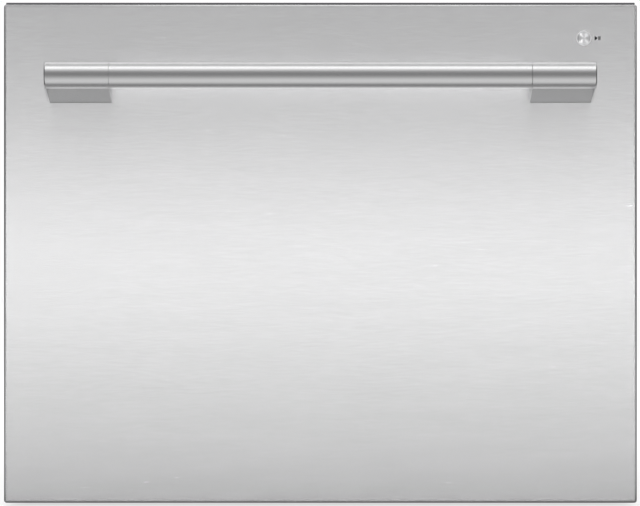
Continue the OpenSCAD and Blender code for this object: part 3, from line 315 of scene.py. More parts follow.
def zinc_flakes_effect():
    """The crystals of a zinc coat on sheet."""
    tree, given, out = effect("zinc_flakes", {"Vector": (0, 0, 0), "Flakes": 90.0}, ["Tone", "Drift"])
    bent = node(tree, "ShaderNodeTexNoise", {"Vector": given.outputs["Vector"], "Scale": 60.0, "Detail": 2.0})
    shift = node(tree, "ShaderNodeVectorMath", {0: bent.outputs["Color"], 1: (0.006, 0.006, 0.006)},
                 operation="MULTIPLY").outputs[0]
    moved = node(tree, "ShaderNodeVectorMath", {0: given.outputs["Vector"], 1: shift},
                 operation="ADD").outputs[0]
    flake = node(tree, "ShaderNodeTexVoronoi", {"Vector": moved, "Scale": given.outputs["Flakes"]})
    tone = node(tree, "ShaderNodeSeparateColor", {0: flake.outputs["Color"]}).outputs[0]
    slow = node(tree, "ShaderNodeTexNoise", {"Vector": given.outputs["Vector"], "Scale": 7.0, "Detail": 4.0})
    tree.links.new(tone, out.inputs["Tone"])
    tree.links.new(slow.outputs[0], out.inputs["Drift"])
    return tree


def edge_wear_effect():
    """Where a convex edge has been rubbed."""
    tree, given, out = effect("edge_wear", {"Vector": (0, 0, 0), "Start": 0.54, "Amount": 0.5}, ["Mask"])
    sharp = node(tree, "ShaderNodeNewGeometry").outputs["Pointiness"]
    over = maths(tree, "SUBTRACT", sharp, given.outputs["Start"])
    over = maths(tree, "MULTIPLY", over, 14.0, clamp=True)
    patchy = node(tree, "ShaderNodeTexNoise",
                  {"Vector": given.outputs["Vector"], "Scale": 160.0, "Detail": 4.0})
    patchy = maths(tree, "MULTIPLY_ADD", patchy.outputs[0], 2.2, -0.6, clamp=True)
    worn = maths(tree, "MULTIPLY", over, patchy)
    worn = maths(tree, "MULTIPLY", worn, given.outputs["Amount"], clamp=True)
    tree.links.new(worn, out.inputs["Mask"])
    return tree


brush_grain = brush_grain_effect()
moulded_grain = moulded_grain_effect()
zinc_flakes = zinc_flakes_effect()
edge_wear = edge_wear_effect()

# ---------------------------------------------------------------- finishes


def start_finish(name, **constants):
    material = bpy.data.materials.new(name)
    tree = shader_tree(material)
    body = node(tree, "ShaderNodeBsdfPrincipled", constants)
    node(tree, "ShaderNodeOutputMaterial", {"Surface": body.outputs[0]})
    place = node(tree, "ShaderNodeTexCoord").outputs["Object"]
    return material, tree, body, place


def use_effect(tree, group, **inputs):
    made = tree.nodes.new("ShaderNodeGroup")
    made.node_tree = group
    for key, value in inputs.items():
        if isinstance(value, bpy.types.NodeSocket):
            tree.links.new(value, made.inputs[key])
        else:
            made.inputs[key].default_value = value
    return made.outputs


def toned(tree, colour, tone, low, high):
    """The colour times a level that goes from low to high with tone."""
    level = node(tree, "ShaderNodeMapRange", {"Value": tone, "To Min": low, "To Max": high}).outputs[0]
    return node(tree, "ShaderNodeVectorMath", {0: colour, 1: level}, operation="MULTIPLY").outputs[0]


def bumped(tree, body, height, strength, distance):
    made = node(tree, "ShaderNodeBump", {"Height": height, "Strength": strength, "Distance": distance})
    tree.links.new(made.outputs[0], body.inputs["Normal"])


def painted_light_marks(tree):
    """One on the faces flagged for painted light, and nought on the others."""
    return node(tree, "ShaderNodeAttribute", attribute_name="painted_light").outputs["Fac"]


def brushed_steel(name, colour, roughness, fineness, anisotropic, depth=0.08, tone=0.03, painted_light=0.34):
    """Steel with drawn scratches. Its map named grain turns the stretched highlights. Flagged faces are
    darkened to the given level, 0.34 unless set: painted shade.
    """
    material, tree, body, place = start_finish(
        name, **{"Metallic": 1.0, "Anisotropic": anisotropic, "Roughness": roughness})
    grain = use_effect(tree, brush_grain, Vector=place, Fineness=fineness)
    shade = toned(tree, colour, grain["Scratches"], 1 - tone, 1 + tone)
    shade = toned(tree, shade, grain["Drift"], 1 - tone * 0.35, 1 + tone * 0.35)
    # Painted shade: flagged faces darkened to the given level.
    shade = toned(tree, shade, painted_light_marks(tree), 1.0, painted_light)
    tree.links.new(shade, body.inputs["Base Color"])
    rough = node(tree, "ShaderNodeMapRange",
                 {"Value": grain["Scratches"], "To Min": roughness * 0.9, "To Max": roughness * 1.1}).outputs[0]
    tree.links.new(rough, body.inputs["Roughness"])
    turn = node(tree, "ShaderNodeTangent", direction_type="UV_MAP", uv_map="grain")
    tree.links.new(turn.outputs[0], body.inputs["Tangent"])
    bumped(tree, body, grain["Scratches"], depth, 0.00005)
    return material


def moulded(name, colour, roughness=0.45, pebbles=1100.0, depth=0.25, drift=0.05, wear=0.25, specular=0.5,
            painted_light=1.0):
    """Moulded plastic: pebbled skin, slow shade drift and paler rubbed edges. Flagged faces are toned by the
    given level: painted light, a painted highlight where it is above one.
    """
    material, tree, body, place = start_finish(name, **{"Roughness": roughness, "Specular IOR Level": specular})
    grain = use_effect(tree, moulded_grain, Vector=place, Pebbles=pebbles)
    worn = use_effect(tree, edge_wear, Vector=place, Amount=wear)["Mask"]
    shade = toned(tree, colour, grain["Drift"], 1 - drift, 1 + drift)
    # Painted light on flagged faces.
    if painted_light != 1.0:
        shade = toned(tree, shade, painted_light_marks(tree), 1.0, painted_light)
    pale = tuple(min(1.0, c * 1.25 + 0.05) for c in colour)
    mixed = node(tree, "ShaderNodeMix", {"Factor": worn, 6: shade, 7: pale + (1,)}, data_type="RGBA").outputs[2]
    tree.links.new(mixed, body.inputs["Base Color"])
    rough = node(tree, "ShaderNodeMapRange",
                 {"Value": grain["Drift"], "To Min": roughness * 0.88, "To Max": roughness * 1.12}).outputs[0]
    tree.links.new(rough, body.inputs["Roughness"])
    bumped(tree, body, grain["Height"], depth, 0.00006)
    return material


def zinc_sheet(name, colour, roughness=0.42, flakes=90.0, tone=0.12, metallic=0.45):
    material, tree, body, place = start_finish(name, **{"Metallic": metallic})
    coat = use_effect(tree, zinc_flakes, Vector=place, Flakes=flakes)
    worn = use_effect(tree, edge_wear, Vector=place, Amount=0.4)["Mask"]
    shade = toned(tree, colour, coat["Tone"], 1 - tone, 1 + tone)
    shade = toned(tree, shade, coat["Drift"], 0.93, 1.07)
    mixed = node(tree, "ShaderNodeMix", {"Factor": worn, 6: shade, 7: (0.8, 0.8, 0.8, 1)},
                 data_type="RGBA").outputs[2]
    tree.links.new(mixed, body.inputs["Base Color"])
    rough = node(tree, "ShaderNodeMapRange",
                 {"Value": coat["Tone"], "To Min": roughness * 0.8, "To Max": roughness * 1.2}).outputs[0]
    tree.links.new(rough, body.inputs["Roughness"])
    bumped(tree, body, coat["Drift"], 0.15, 0.0003)
    return material


def perforated_steel(name, colour):
    """Steel sheet with rows of small holes drawn on it: each hole is a near-black spot of painted shade, sunk
    by a bump.
    """
    material, tree, body, place = start_finish(name, **{"Metallic": 0.8, "Roughness": 0.32})
    spaced = node(tree, "ShaderNodeVectorMath", {0: place, 1: (360.0, 360.0, 0.0)},
                  operation="MULTIPLY").outputs[0]
    cell = node(tree, "ShaderNodeTexVoronoi", {"Vector": spaced, "Scale": 1.0, "Randomness": 0.0},
                voronoi_dimensions="3D")
    hole = node(tree, "ShaderNodeMapRange",
                {"Value": cell.outputs["Distance"], "From Min": 0.26, "From Max": 0.32,
                 "To Min": 1.0, "To Max": 0.0})
    coat = use_effect(tree, zinc_flakes, Vector=place, Flakes=700.0)
    shade = toned(tree, colour, coat["Drift"], 0.92, 1.06)
    # Painted shade: the holes are coloured near-black.
    mixed = node(tree, "ShaderNodeMix", {"Factor": hole.outputs[0], 6: shade, 7: (0.02, 0.02, 0.022, 1)},
                 data_type="RGBA").outputs[2]
    tree.links.new(mixed, body.inputs["Base Color"])
    solid = maths(tree, "SUBTRACT", 1.0, hole.outputs[0])
    tree.links.new(maths(tree, "MULTIPLY", solid, 0.8), body.inputs["Metallic"])
    bumped(tree, body, solid, 0.5, 0.0004)
    return material


finishes = {
    "front_steel": brushed_steel("front_steel", (0.74, 0.74, 0.745), 0.26, (70, 900, 1100), 0.85, tone=0.062),
    "handle_steel": brushed_steel("handle_steel", (0.76, 0.76, 0.765), 0.24, (30, 3500, 3500), 0.6),
    "button_steel": brushed_steel("button_steel", (0.80, 0.80, 0.81), 0.28, (6000, 6000, 6000), 0.93),
    # The control strip's flagged front faces are painted five times paler: a painted highlight.
    "strip_black": moulded("strip_black", (0.035, 0.035, 0.038), 0.22, 900, 0.06, 0.1, 0.15, painted_light=5.0),
    "key_grey": moulded("key_grey", (0.30, 0.31, 0.32), 0.4),
    "symbol_ink": moulded("symbol_ink", (0.008, 0.008, 0.008), 0.6, 3000, 0.1, 0.1, 0.0, 0.1),
    "liner_grey": moulded("liner_grey", (0.50, 0.52, 0.54), 0.5),
    "dark_plastic": moulded("dark_plastic", (0.06, 0.063, 0.068), 0.5, 1300, 0.35, 0.15),
    "motor_shell": moulded("motor_shell", (0.10, 0.10, 0.11), 0.45, 1300, 0.3, 0.12),
    "pale_plastic": moulded("pale_plastic", (0.78, 0.78, 0.76), 0.42),
    "lid_plastic": moulded("lid_plastic", (0.66, 0.67, 0.68), 0.42, 1000, 0.15),
    "rack_gear_plastic": moulded("rack_gear_plastic", (0.42, 0.43, 0.44), 0.4),
    "tub_plastic": moulded("tub_plastic", (0.46, 0.48, 0.50), 0.38, 1200, 0.12),
    "spray_plastic": moulded("spray_plastic", (0.56, 0.58, 0.60), 0.4),
    "cap_plastic": moulded("cap_plastic", (0.07, 0.15, 0.36), 0.25, 900, 0.08),
    "basket_plastic": moulded("basket_plastic", (0.24, 0.26, 0.28), 0.45),
    "filter_steel": perforated_steel("filter_steel", (0.60, 0.62, 0.64)),
    "rack_wire": moulded("rack_wire", (0.72, 0.74, 0.76), 0.35, 1800, 0.1),
    "frame_sheet": zinc_sheet("frame_sheet", (0.60, 0.61, 0.62)),
    "slide_steel": zinc_sheet("slide_steel", (0.66, 0.67, 0.68), 0.32, 120.0, 0.02, 0.75),
    "screw_zinc": zinc_sheet("screw_zinc", (0.72, 0.71, 0.66), 0.25, 500.0, 0.05, 0.8),
    "seal_rubber": moulded("seal_rubber", (0.03, 0.03, 0.033), 0.7, 1500, 0.4, 0.2, 0.1, 0.3),
}

# ---------------------------------------------------------------- pieces


def placed(bm, name, body, slot, *nodes, crease=50):
    """Makes the piece, smooth but for edges over crease degrees, on its body and in its nodes' stead."""
    for face in bm.faces:
        face.smooth = True
    mesh = bpy.data.meshes.new(name)
    bm.to_mesh(mesh)
    bm.free()
    mesh.set_sharp_from_angle(angle=math.radians(crease))
    mesh.materials.append(finishes[slot])
    obj = bpy.data.objects.new(name, mesh)
    scene.collection.objects.link(obj)
    even = obj.modifiers.new("even shading", "WEIGHTED_NORMAL")
    even.keep_sharp = True
    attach(obj, body)
    if nodes:
        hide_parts(*nodes)
    return obj


def body_of(name):
    return frame["nodes"][name]["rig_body"]


def merged_copy(name):
    """A CAD node's mesh as one closed skin with whole flat faces."""
    bm = bmesh.new()
    bm.from_mesh(frame["nodes"][name].data)
    bmesh.ops.remove_doubles(bm, verts=bm.verts, dist=2e-6)
    bmesh.ops.dissolve_limit(bm, angle_limit=math.radians(0.4), verts=bm.verts, edges=bm.edges,
                             use_dissolve_boundaries=False)
    return bm


def soften(bm, width, segments=2, over=40):
    """Rounds every edge that turns by more than over degrees."""
    edges = [e for e in bm.edges if len(e.link_faces) == 2 and e.calc_face_angle() > math.radians(over)]
    bmesh.ops.bevel(bm, geom=edges, offset=width, offset_type="OFFSET", segments=segments, profile=0.5,
                    affect="EDGES", clamp_overlap=True, material=-1)


def grain_map(bm, across):
    """The map that turns stretched highlights: its first axis runs across the scratches."""
    layer = bm.loops.layers.uv.new("grain")
    for face in bm.faces:
        first = Vector(across(face.calc_center_median(), face.normal))
        for loop in face.loops:
            uv = Vector(across(loop.vert.co, face.normal))
            for k in (0, 1):
                uv[k] -= 2 * math.pi * round((uv[k] - first[k]) / (2 * math.pi))
            loop[layer].uv = uv


def up_the_panel(co, normal):
    return (co.y, co.x) if abs(normal.z) > 0.75 else (co.z, co.x + co.y)


BAR_Y = -303.9 * mm
BAR_Z = 405.4 * mm


def round_the_bar(co, normal):
    return math.atan2(co.z - BAR_Z, co.y - BAR_Y), co.x


def mark_painted_light_faces(bm, chosen):
    """Flags the faces that get painted light from their finish: painted shade on steel, a painted highlight on
    the control strip's front.
    """
    layer = bm.faces.layers.float.new("painted_light")
    for face in bm.faces:
        face[layer] = 1.0 if chosen(face) else 0.0


def dressed(name, slot, softened=0.0003, across=None, segments=2, painted_light=None):
    """A CAD node's copy with rounded edges and its finish, with painted light on the faces that a chooser
    picks.
    """
    bm = merged_copy(name)
    if softened:
        soften(bm, softened, segments)
    if painted_light:
        mark_painted_light_faces(bm, painted_light)
    if across:
        grain_map(bm, across)
    return placed(bm, name + "_finished", body_of(name), slot, name)


def dress_the_rest(done):
    """Every CAD node that no new piece stands for gets rounded edges and its finish."""
    for part in frame["record"]["subparts"]:
        if part["node"] not in done:
            dressed(part["node"], part["material_slot"])


# The skin's sideways faces get painted shade from the steel's finish: a dark line along its side edges.
skin = dressed("front_skin", "front_steel", 0, up_the_panel, painted_light=lambda f: abs(f.normal.x) > 0.6)
panel_only.objects.link(skin)
# Its front-facing faces get a painted highlight from the strip's finish.
dressed("control_strip", "strip_black", painted_light=lambda f: f.normal.y < -0.6)
bar = dressed("handle_bar", "handle_steel", 0.0002, round_the_bar)
handle_only.objects.link(bar)
bar_only.objects.link(bar)


def bracket(name):
    """An end bracket, its outer end well rounded and its other edges just broken."""
    bm = merged_copy(name)
    outer = max(abs(v.co.x) for v in bm.verts)
    rim = [e for e in bm.edges if all(abs(abs(v.co.x) - outer) < 1e-6 for v in e.verts)
           and e.calc_face_angle(0) > math.radians(40)]
    bmesh.ops.bevel(bm, geom=rim, offset=0.0015, offset_type="OFFSET", segments=4, profile=0.5,
                    affect="EDGES", clamp_overlap=True, material=-1)
    soften(bm, 0.00025)
    grain_map(bm, round_the_bar)
    # Painted shade: the bracket's sides and its flat underside are darkened by the steel's finish.
    mark_painted_light_faces(bm, lambda f: abs(f.normal.x) > 0.95 or (f.normal.z < -0.95 and f.calc_area() > 1e-4))
    piece = placed(bm, name + "_finished", "drawer", "handle_steel", name, crease=40)
    handle_only.objects.link(piece)
    brackets_only.objects.link(piece)


bracket("handle_bracket_left")
bracket("handle_bracket_right")

BUTTON_X = 249.3 * mm
BUTTON_Z = 442.9 * mm


def from_the_middle(co, normal):
    """Out from the button's middle, because its scratches run round it."""
    round_it = math.atan2(co.z - BUTTON_Z, co.x - BUTTON_X)
    out = math.hypot(co.z - BUTTON_Z, co.x - BUTTON_X) if abs(normal.y) > 0.5 else co.y
    return out * 100, round_it


def turned(profile, centre, segments=96):
    """A turned part about an axis along Y, from points (radius, y) in millimetres."""
    bm = bmesh.new()
    x, z = centre
    points = [bm.verts.new((x + r * mm, y * mm, z)) for r, y in profile]
    for a, b in zip(points, points[1:]):
        bm.edges.new((a, b))
    bmesh.ops.spin(bm, geom=bm.verts[:] + bm.edges[:], cent=(x, 0, z), axis=(0, 1, 0),
                   angle=2 * math.pi, steps=segments, use_merge=True)
    bmesh.ops.remove_doubles(bm, verts=bm.verts, dist=1e-7)
    bmesh.ops.recalc_face_normals(bm, faces=bm.faces)
    return bm


def start_button():
    """The button: a shallow dish in a rounded rim, on its stem."""
    face = -256.9
    rear = -247.4
    rings = [(0, face + 0.30)]
    for k in range(1, 12):
        r = 0.46 * k
        rings.append((r, face + 0.30 - 0.06 * (r / 5.2) ** 2))
    rings += [(5.25, face + 0.18), (5.4, face + 0.06), (5.65, face), (5.9, face + 0.08), (6.1, face + 0.35),
              (6.1, face + 2.6), (3.0, face + 2.6), (3.0, rear), (0, rear)]
    bm = turned(rings, (BUTTON_X, BUTTON_Z))
    grain_map(bm, from_the_middle)
    button_only.objects.link(placed(bm, "start_button_turned", "button", "button_steel", "start_button",
                                    crease=40))


def button_ring():
    """The ring round the button, with a seat behind that holds it in the panel."""
    front = -257.2
    outer, inner = 6.9, 6.2
    face, seat, rear = -256.4, -252.4, -248.4
    rings = [(inner, front + 0.30), (inner + 0.06, front + 0.05), (inner + 0.14, front), (outer - 0.12, front),
             (outer - 0.04, front + 0.06), (outer, front + 0.2), (outer, face), (6.15, face), (6.15, rear),
             (5.0, rear), (5.0, seat), (inner, seat), (inner, front + 0.35)]
    bm = turned(rings, (BUTTON_X, BUTTON_Z))
    grain_map(bm, from_the_middle)
    ring_only.objects.link(placed(bm, "button_ring_turned", "drawer", "button_steel", "button_bezel",
                                  crease=40))


def start_mark():
    """The printed play and pause mark, a raised film of ink."""
    bm = bmesh.new()
    left, thick = 259.45, 0.12 * mm

    def film(points):
        front = bm.faces.new([bm.verts.new(((left + x) * mm, FACE_Y - thick, BUTTON_Z + z * mm))
                              for x, z in points])
        grown = bmesh.ops.extrude_face_region(bm, geom=[front])["geom"]
        rear = [v for v in grown if isinstance(v, bmesh.types.BMVert)]
        bmesh.ops.translate(bm, vec=(0, thick, 0), verts=rear)

    film([(0, -2.2), (2.9, 0), (0, 2.2)])
    for x in (3.5, 4.7):
        film([(x, -1.9), (x + 0.8, -1.9), (x + 0.8, 1.9), (x, 1.9)])
    bmesh.ops.recalc_face_normals(bm, faces=bm.faces)
    placed(bm, "start_mark", "drawer", "symbol_ink", "start_symbol", crease=30)


start_button()
button_ring()
start_mark()

# ---------------------------------------------------------------- wires

MIDDLE = -0.4          # the tub's middle along y, in millimetres as all the wires' places are
RACK_X, RACK_Y = 253, 210
FLOOR_Z, LOW_Z, RAIL_Z, TOP_Z = 131.9, 128.3, 194.9, 257.9
AXLE_Z, TINE_TOP = 137.1, 225.1
SHELF_Z = 263.4
TINES_FRONT, TINES_REAR = -84.4, 61.6


def bent(points, bend, closed=False):
    """The path of a wire whose corners are bent on a radius."""
    points = [Vector(p) for p in points]
    corners = list(zip(points, points[1:], points[2:]))
    path = [points[0]]
    if closed:
        corners = [(points[k - 1], points[k], points[(k + 1) % len(points)]) for k in range(len(points))]
        path = []
    for before, corner, after in corners:
        start = corner + (before - corner).normalized() * bend
        end = corner + (after - corner).normalized() * bend
        for k in range(5):
            t = k / 4
            path.append(start * (1 - t) ** 2 + corner * 2 * t * (1 - t) + end * t * t)
    if not closed:
        path.append(points[-1])
    return path


def wirework(runs, radius, loops=()):
    """Round wires, each along its path. A loop is welded to itself."""
    curve = bpy.data.curves.new("wirework", "CURVE")
    curve.dimensions = "3D"
    curve.bevel_depth = radius * mm
    curve.bevel_resolution = 2
    curve.use_fill_caps = True
    for path, cyclic in [(r, False) for r in runs] + [(r, True) for r in loops]:
        spline = curve.splines.new("POLY")
        spline.points.add(len(path) - 1)
        for point, co in zip(spline.points, path):
            point.co = (*(Vector(co) * mm), 1)
        spline.use_cyclic_u = cyclic
    bent_up = bpy.data.objects.new("wirework", curve)
    mesh = bpy.data.meshes.new_from_object(bent_up)
    bm = bmesh.new()
    bm.from_mesh(mesh)
    bpy.data.objects.remove(bent_up)
    bpy.data.curves.remove(curve)
    bpy.data.meshes.remove(mesh)
    bmesh.ops.remove_doubles(bm, verts=bm.verts, dist=1e-6)
    bmesh.ops.recalc_face_normals(bm, faces=bm.faces)
    return bm


def clip_on(bm, x, y, z, along):
    """A moulded clip that a hinge wire snaps into: a rounded block with a snout on each side."""
    made = bmesh.ops.create_cube(bm, size=1, matrix=Matrix.Translation((x * mm, y * mm, (z - 0.75) * mm))
                                 @ Matrix.Diagonal((7 * mm, 7 * mm, 8.5 * mm, 1)))["verts"]
    edges = list({e for v in made for e in v.link_edges})
    bmesh.ops.bevel(bm, geom=edges, offset=1.6 * mm, offset_type="OFFSET", segments=3, profile=0.5,
                    affect="EDGES", clamp_overlap=True, material=-1)
    across = "Y" if along == "x" else "X"
    turn = Matrix.Rotation(math.radians(90), 4, across)
    rim = bmesh.ops.create_cone(bm, cap_ends=True, segments=20, radius1=3.2 * mm, radius2=3.2 * mm,
                                depth=8.6 * mm,
                                matrix=Matrix.Translation((x * mm, y * mm, z * mm)) @ turn)["verts"]
    ends = list({e for v in rim for e in v.link_edges
                 if len([f for f in e.link_faces if len(f.verts) > 4]) == 1})
    bmesh.ops.bevel(bm, geom=ends, offset=0.5 * mm, offset_type="OFFSET", segments=2, profile=0.5,
                    affect="EDGES", clamp_overlap=True, material=-1)


def across_at(k):
    """Where along y the rack's k-th wire across lies."""
    return MIDDLE + 206 * (2 * k / 8 - 1)


def along_at(k):
    """Where along x the rack's k-th wire along lies."""
    return 249 * (2 * k / 12 - 1)


def rack():
    """The rack: bent floor wires that rise into its sides, two rails round it, and the hinge clips."""
    front, rear = MIDDLE - RACK_Y, MIDDLE + RACK_Y
    runs = []
    for k in range(9):
        y = across_at(k)
        if k in (2, 4, 6):
            runs.append(bent([(-RACK_X, y, TOP_Z), (-RACK_X, y, FLOOR_Z), (RACK_X, y, FLOOR_Z),
                              (RACK_X, y, TOP_Z)], 9))
        else:
            runs.append([(-RACK_X + 2, y, FLOOR_Z), (RACK_X - 2, y, FLOOR_Z)])
    for k in range(13):
        x = along_at(k)
        if k % 2 == 0:
            runs.append(bent([(x, front, TOP_Z), (x, front, LOW_Z), (x, rear, LOW_Z), (x, rear, TOP_Z)], 9))
        else:
            runs.append([(x, front + 2, LOW_Z), (x, rear - 2, LOW_Z)])
    for y in (TINES_FRONT, TINES_REAR):
        runs.append([(-251, y, FLOOR_Z), (83, y, FLOOR_Z)])
    rails = [bent([(-RACK_X, front, z), (RACK_X, front, z), (RACK_X, rear, z), (-RACK_X, rear, z)], 5, True)
             for z in (RAIL_Z, TOP_Z)]
    bm = wirework(runs, 1.95, rails)
    for y in (TINES_FRONT, TINES_REAR):
        for x in (-229, 67):
            clip_on(bm, x, y, AXLE_Z, "x")
    for x in (-RACK_X, RACK_X):
        for y in (MIDDLE - 158, MIDDLE + 158):
            clip_on(bm, x, y, SHELF_Z, "y")
    placed(bm, "rack_wirework", "drawer", "rack_wire", "rack", "rack_ends", "rack_sides", crease=40)


def tine_row(name, y):
    """A folding row of tines on its hinge wire, each with a rounded coated tip."""
    runs = [[(-235, y, AXLE_Z), (73, y, AXLE_Z)]]
    places = [-235 + 28 * k for k in range(1, 11)]
    runs += [[(x, y, AXLE_Z), (x, y, TINE_TOP - 2.2)] for x in places]
    bm = wirework(runs, 1.8)
    for x in places:
        bmesh.ops.create_uvsphere(bm, u_segments=10, v_segments=8, radius=2.1 * mm,
                                  matrix=Matrix.Translation((x * mm, y * mm, (TINE_TOP - 2.1) * mm)))
    placed(bm, name + "_wirework", body_of(name), "rack_wire", name, crease=40)


def cup_shelf(name, side):
    """A folding shelf: a bent outer wire, four long wires and two cross wires on the hinge wire."""
    reach = 148
    outer = RACK_X - 96

    def at(x, y):
        return (side * x, MIDDLE + y, SHELF_Z)

    runs = [[at(RACK_X, -164), at(RACK_X, 164)],
            bent([at(RACK_X, -reach), at(outer, -reach), at(outer, reach), at(RACK_X, reach)], 12)]
    runs += [[at(RACK_X - 19.2 * k, -reach), at(RACK_X - 19.2 * k, reach)] for k in range(1, 5)]
    runs += [[at(outer, y), at(RACK_X, y)] for y in (-49, 49)]
    placed(wirework(runs, 1.9), name + "_wirework", body_of(name), "rack_wire", name, crease=40)


rack()
tine_row("tine_row_front", TINES_FRONT)
tine_row("tine_row_rear", TINES_REAR)
cup_shelf("cup_shelf_left", -1)
cup_shelf("cup_shelf_right", 1)

# ---------------------------------------------------------------- what the tub holds


def add_to(bm, part):
    """Adds a part made by itself, which keeps each part's normals its own."""
    mesh = bpy.data.meshes.new("part")
    part.to_mesh(mesh)
    part.free()
    bm.from_mesh(mesh)
    bpy.data.meshes.remove(mesh)


def cut(bm, place, across):
    """Cuts every face along a plane through place."""
    bmesh.ops.bisect_plane(bm, geom=bm.verts[:] + bm.edges[:] + bm.faces[:], plane_co=place, plane_no=across)


def spun(bm, profile, centre, segments):
    """A turned part about an upright axis, from points (radius, height) in millimetres."""
    own = bmesh.new()
    cx, cy, cz = centre
    points = [own.verts.new(((cx + r) * mm, cy * mm, (cz + z) * mm)) for r, z in profile]
    for a, b in zip(points, points[1:]):
        own.edges.new((a, b))
    bmesh.ops.spin(own, geom=own.verts[:] + own.edges[:], cent=(cx * mm, cy * mm, 0), axis=(0, 0, 1),
                   angle=2 * math.pi, steps=segments, use_merge=True)
    bmesh.ops.remove_doubles(own, verts=own.verts, dist=1e-6)
    bmesh.ops.recalc_face_normals(own, faces=own.faces)
    add_to(bm, own)


def open_up(bm, faces, bar):
    """Opens a hole in each face and leaves bars of a given width round it."""
    bmesh.ops.inset_individual(bm, faces=faces, thickness=bar * mm, use_even_offset=True)
    bmesh.ops.delete(bm, geom=faces, context="FACES")


def cutlery_basket():
    """An open lattice basket: barred walls between a solid foot and a solid rim."""
    low, high = Vector((143, MIDDLE - 92, 134.2)), Vector((243, MIDDLE + 92, 230.2))
    bm = bmesh.new()
    columns, bays, rows = 10, 18, 6
    band, bar, thick = 10, 1.3, 1.8
    centre = (low + high) / 2
    half = (high - low) / 2
    bmesh.ops.create_cube(bm, size=2, matrix=Matrix.Translation(centre * mm)
                          @ Matrix.Diagonal((half.x * mm, half.y * mm, half.z * mm, 1)))
    bmesh.ops.delete(bm, geom=[f for f in bm.faces if f.normal.z > 0.9], context="FACES_ONLY")
    bmesh.ops.bevel(bm, geom=[e for e in bm.edges if abs(e.verts[0].co.z - e.verts[1].co.z) > 0.01],
                    offset=4 * mm, offset_type="OFFSET", segments=4, profile=0.5, affect="EDGES",
                    clamp_overlap=True, material=-1)
    for k in range(1, columns):
        cut(bm, ((low.x + 2 * half.x * k / columns) * mm, 0, 0), (1, 0, 0))
    for k in range(1, bays):
        cut(bm, (0, (low.y + 2 * half.y * k / bays) * mm, 0), (0, 1, 0))
    between = 2 * half.z - 2 * band
    for k in range(rows + 1):
        cut(bm, (0, 0, (low.z + band + between * k / rows) * mm), (0, 0, 1))

    def holed(face):
        middle = face.calc_center_median() / mm
        if len(face.verts) != 4 or face.calc_area() < 40e-6:
            return False
        if face.normal.z < -0.9:
            return low.x + 6 < middle.x < high.x - 6 and low.y + 6 < middle.y < high.y - 6
        upright = max(abs(face.normal.x), abs(face.normal.y)) > 0.99
        return upright and low.z + band < middle.z < high.z - band

    open_up(bm, [f for f in bm.faces if holed(f)], bar)
    bmesh.ops.recalc_face_normals(bm, faces=bm.faces)
    piece = placed(bm, "cutlery_basket_lattice", "drawer", "basket_plastic", "cutlery_basket", crease=35)
    wall = piece.modifiers.new("wall", "SOLIDIFY")
    wall.thickness = thick * mm
    wall.offset = -1
    wall.use_even_offset = True


def spray_arm():
    """A crowned wash arm with raised nozzles and a ribbed nut at its middle."""
    low, deep = 92.8, 13.0
    reach, tip, waist, belly = 191.0, 14.0, 26, 5
    bm = bmesh.new()
    for top in (1, -1):
        for vert in bmesh.ops.create_grid(bm, x_segments=72, y_segments=14, size=1)["verts"]:
            u, v = vert.co.x, vert.co.y
            along = math.sin(u * math.pi / 2) * (reach + tip)
            past = max(0.0, abs(along) - reach)
            if past:
                wide = math.sqrt(max(0.0, tip * tip - past * past))
            else:
                wide = waist - (waist - tip) * abs(along) / reach
            bow = math.sqrt(max(0.0, 1 - v ** 4)) * min(1.0, wide / tip)
            z = low + belly + (deep - belly if top > 0 else -belly) * bow
            vert.co = (along * mm, (MIDDLE + wide * v) * mm, z * mm)
    bmesh.ops.remove_doubles(bm, verts=bm.verts, dist=2e-5)
    bmesh.ops.recalc_face_normals(bm, faces=bm.faces)
    nut = [(0, 18.0), (9, 18.0), (12.5, 17.2), (14.2, 15.6), (15, 13.4), (15, 9), (0, 9)]
    spun(bm, nut, (0, MIDDLE, low), 48)
    ribs, rib_out, rib_high = 12, 14.2, 14.2
    for k in range(ribs):
        angle = 2 * math.pi * k / ribs
        place = (rib_out * math.cos(angle) * mm, (MIDDLE + rib_out * math.sin(angle)) * mm,
                 (low + rib_high) * mm)
        bmesh.ops.create_uvsphere(bm, u_segments=10, v_segments=6, radius=1,
                                  matrix=Matrix.Translation(place)
                                  @ Matrix.Diagonal((1.2 * mm, 1.2 * mm, 3.2 * mm, 1)))
    nozzle = [(0, 1.2), (1.7, 1.2), (1.9, 2.0), (2.6, 2.2), (3.6, 1.6), (4.6, 0.2), (4.6, -2.5), (0, -2.5)]
    for side in (-1, 1):
        for k in range(1, 5):
            spun(bm, nozzle, (side * k * reach / 4.4, MIDDLE + side * 4, low + deep - 1.6), 24)
    placed(bm, "spray_arm_crowned", body_of("spray_arm"), "spray_plastic", "spray_arm", crease=35)


cutlery_basket()
spray_arm()

# ---------------------------------------------------------------- connections at the rear


BACK_Y = 280.6         # the back panel's rear face, in millimetres as all the connections' places are
PORT_Z = 66
INLET_X, DRAIN_X, GLAND_X = -200, -120, 176


def rounded_block(bm, low, high, corner, edge):
    """A block whose edges along y are rounded well and its other edges a little."""
    own = bmesh.new()
    low, high = Vector(low) * mm, Vector(high) * mm
    size = (high - low) / 2
    bmesh.ops.create_cube(own, size=2, matrix=Matrix.Translation((low + high) / 2)
                          @ Matrix.Diagonal((size.x, size.y, size.z, 1)))
    deep = [e for e in own.edges if abs(e.verts[0].co.y - e.verts[1].co.y) > 1e-6]
    bmesh.ops.bevel(own, geom=deep, offset=corner * mm, offset_type="OFFSET", segments=5, profile=0.5,
                    affect="EDGES", clamp_overlap=True, material=-1)
    soften(own, edge * mm, 2, 60)
    add_to(bm, own)


